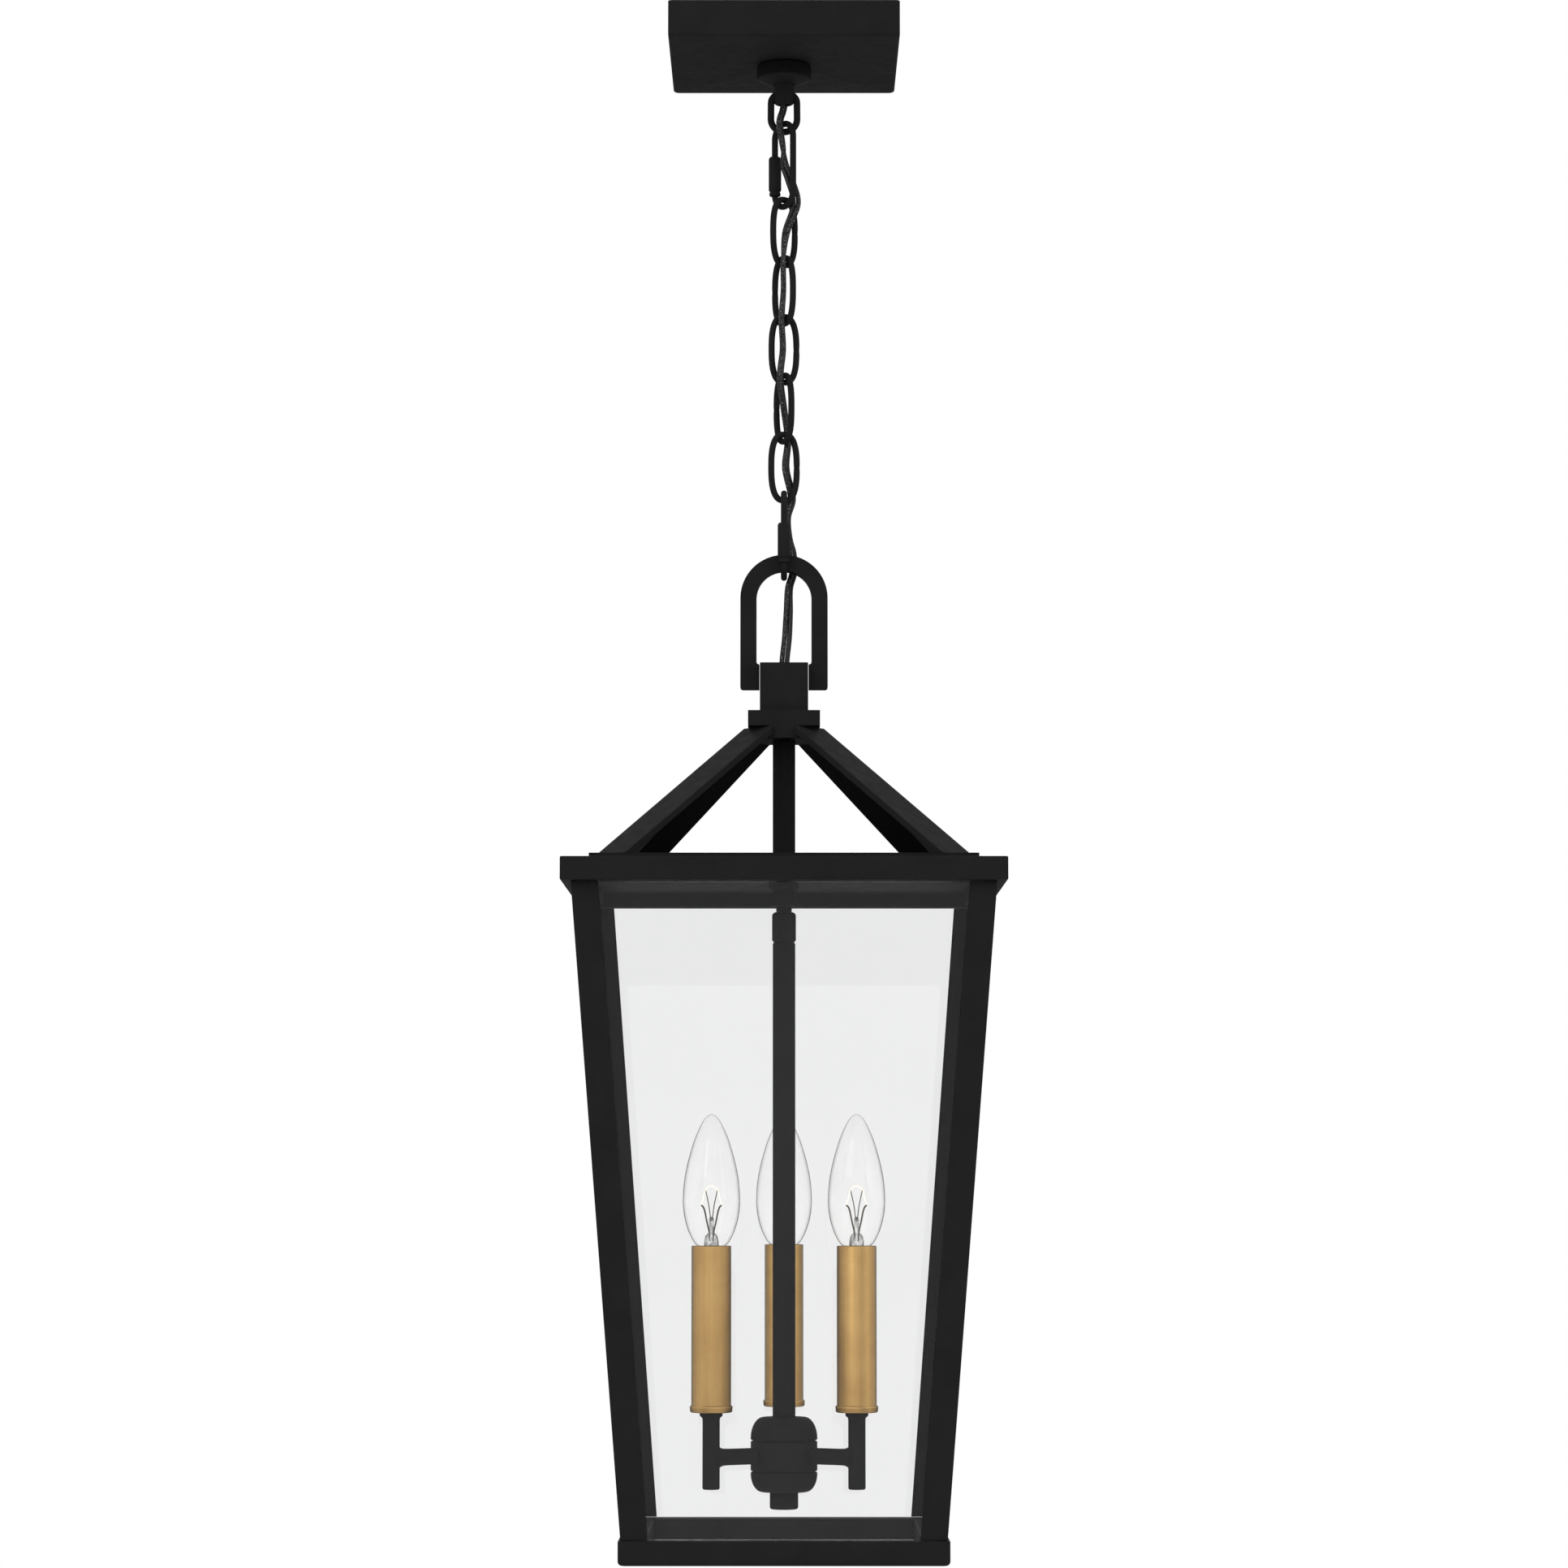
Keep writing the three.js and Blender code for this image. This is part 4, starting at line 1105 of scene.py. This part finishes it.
def add_socket(place, centre):
    """A moulded socket: a foot, a barrel and an open bore for the bulb's base."""
    node = f"socket_{place}"
    floor, rim = ends(node)
    foot, barrel, bore, depth = 2.8, 8.2, 6.55, 22
    section = [(foot, floor), (foot, rim - 36), (barrel - 0.8, rim - 35), (barrel, rim - 34)]
    section += [(barrel, rim - 0.6), (barrel - 0.4, rim), (bore + 0.3, rim), (bore, rim - 0.4)]
    section += [(bore, rim - depth), (1.5, rim - depth)]
    finish_piece(node, [moved(lathe(section, sides=64), centre)], PHENOLIC)


def bulb_outline(top):
    """The glass wall's (radius, z) pairs from its neck to its drawn-out tip."""
    knots = [(6.0, BULB_GLASS_HEIGHT), (7.2, 77.6), (9.5, 75.6), (12.4, 70.8), (15.0, 63.7), (16.4, 56.5)]
    knots += [(16.75, 49.5), (15.9, 38.0), (13.9, 27.9), (11.8, 20.3), (10.1, 15.0), (8.5, 11.0)]
    knots += [(6.9, 7.6), (5.4, 4.6), (4.0, 2.5), (2.6, 1.1), (1.3, 0.3), (0.3, 0.02)]
    line = smooth_line(upright([(r, -depth) for r, depth in knots], above=top), 4)
    return [(p.x, p.z) for p in line]


def bulb_base(neck):
    """A screw base below the neck, with its contact at the foot."""
    section = [(2.2, neck - 23.5), (3.0, neck - 23.0), (4.6, neck - 21.5)]
    section += threaded(6.1, 0.45, neck - 20.5, neck - 2.5, 2.5) + [(6.15, neck - 1.5), (6.15, neck)]
    return lathe(section, sides=64)


def bulb_stem(neck):
    """The flared glass stem inside the neck."""
    flare = [(4.3, 2), (4.2, 5.0), (3.6, 8.0), (2.2, 9.5), (1.45, 10.6), (1.35, 14.0), (1.5, 17.5)]
    flare += [(1.2, 18.6), (0.4, 19.0)]
    return lathe([(r, neck + z) for r, z in flare], sides=48)


def bulb_leads(neck):
    """A bead, two leads out to the filament's ends and two props up to its crown."""
    bead = [(0.5, 16.6), (0.95, 17.1), (0.95, 18.6), (0.5, 19.1)]
    shapes = [lathe([(r, neck + z) for r, z in bead], sides=24)]
    lead_stops = [(1.0, 5), (1.3, 10), (2.6, 16), (4.6, 24.5), (6.0, 26.0)]
    prop_stops = [(0.6, 18.6), (1.4, 25), (3.2, 33.5), (3.6, 35.0)]
    for side in (-1, 1):
        lead = upright([(side * x, z) for x, z in lead_stops], above=neck)
        prop = upright([(side * x, z) for x, z in prop_stops], 0.3, neck)
        shapes += [sweep(smooth_line(lead, 4), 0.48, 8), sweep(smooth_line(prop, 4), 0.28, 8)]
    return shapes


def filament(neck):
    """A fine coil along an arch over the leads."""
    knots = [(-6.0, 26.0), (-4.7, 30.5), (-3.6, 34.6), (0.0, 37.2), (3.6, 34.6), (4.7, 30.5), (6.0, 26.0)]
    arch = smooth_line(upright(knots, above=neck), 10)
    coil_r, twist, thread_r = 0.28, 1.4, 0.16
    coil = []
    for i, point in enumerate(arch):
        coil.append(point + Vector((0, coil_r * math.sin(i * twist), coil_r * math.cos(i * twist))))
    return sweep(coil, thread_r, 8)


def add_bulb(place, centre):
    """A clear flame bulb: its wall, screw base, flared stem, leads and filament."""
    node = f"bulb_{place}"
    body = BODY_OF[node]
    top = high(node)
    neck = top - BULB_GLASS_HEIGHT
    finish_piece(node, [moved(lathe(bulb_outline(top), sides=96), centre)], BULB_GLASS)
    extra_piece(f"bulb_base_{place}", body, [moved(bulb_base(neck), centre)], BASE_METAL)
    extra_piece(f"bulb_stem_{place}", body, [moved(bulb_stem(neck), centre)], STEM_GLASS)
    leads = [moved(shape, centre) for shape in bulb_leads(neck)]
    extra_piece(f"bulb_leads_{place}", body, leads, LEAD_METAL)
    extra_piece(f"bulb_filament_{place}", body, [moved(filament(neck), centre)], GLOW)


def add_cluster_and_candles():
    add_stem()
    add_cluster()
    add_finial()
    for place, angle in CANDLES.items():
        centre = polar(CANDLE_CIRCLE_R, angle)
        add_arm(place, angle)
        add_candle_sleeve(place, centre)
        add_socket(place, centre)
        add_bulb(place, centre)


# ---- studio
def add_floor():
    """A pale floor well below the lantern, which hangs at about ceiling height."""
    sides, radius, top, thickness = 96, 6000, -2300, 20
    slab = loft([circle(radius, top - thickness, sides), circle(radius, top, sides)])
    make_piece("floor", [slab], floor_paint())


def floor_paint():
    """Matt pale grey, a little uneven."""
    material, n = new_material("pale_floor")
    colour = n.ramp(n.noise(2, 3), [(0.3, 0.80), (0.7, 0.84)])
    surface(n, Base_Color=colour, Roughness=0.7, Normal=n.bump(n.noise(60, 3), 0.0004, 0.3))
    return material


def add_world():
    """A white room, dimmer low down and brighter above in front."""
    world = bpy.data.worlds.new("studio")
    bpy.context.scene.world = world
    world.use_nodes = True
    n = Nodes(world.node_tree)
    direction = n.add("TexCoord").outputs["Generated"]
    axes = n.add("SeparateXYZ", inputs={0: direction})
    front = n.ramp(n.math("MULTIPLY_ADD", axes.outputs["Y"], -0.5, 0.5), [(0.42, 0.0), (0.62, 1.0)])
    height = n.math("MULTIPLY_ADD", axes.outputs["Z"], 0.5, 0.5)
    before = n.math("MULTIPLY_ADD", n.ramp(height, [(0.505, 0.0), (0.535, 1.0)]), 0.80, 0.50)
    behind = n.ramp(height, [(0.46, 0.05), (0.495, 1.0)])
    room = n.math("ADD", n.math("MULTIPLY", front, n.math("SUBTRACT", before, behind)), behind)
    # The camera itself sees plain white.
    seen = n.add("LightPath").outputs["Is Camera Ray"]
    level = n.math("ADD", room, n.math("MULTIPLY", seen, n.math("SUBTRACT", 1.0, room)))
    light = n.add("Background", inputs={"Color": (1, 1, 1, 1), "Strength": level})
    n.add("OutputWorld", inputs={"Surface": light.outputs[0]})


def add_softbox(name, location, target, size, power):
    """A rectangular area light aimed at a point."""
    data = bpy.data.lights.new(name, "AREA")
    data.shape = "RECTANGLE"
    data.size, data.size_y = size
    data.energy = power
    lamp = bpy.data.objects.new(name, data)
    lamp.location = location
    lamp.rotation_euler = (Vector(target) - Vector(location)).to_track_quat("-Z", "Y").to_euler()
    bpy.context.scene.collection.objects.link(lamp)


add_ceiling_end()
add_chain()
add_roof()
add_posts()
add_panes()
add_cluster_and_candles()
add_floor()
add_world()
add_softbox("key", (-1.6, -2.4, 0.9), (0, 0, -0.5), (1.4, 1.4), 18)
add_softbox("fill", (2.2, -1.6, 0.1), (0, 0, -0.6), (1.2, 1.6), 7)
bpy.context.scene.view_settings.view_transform = "Standard"
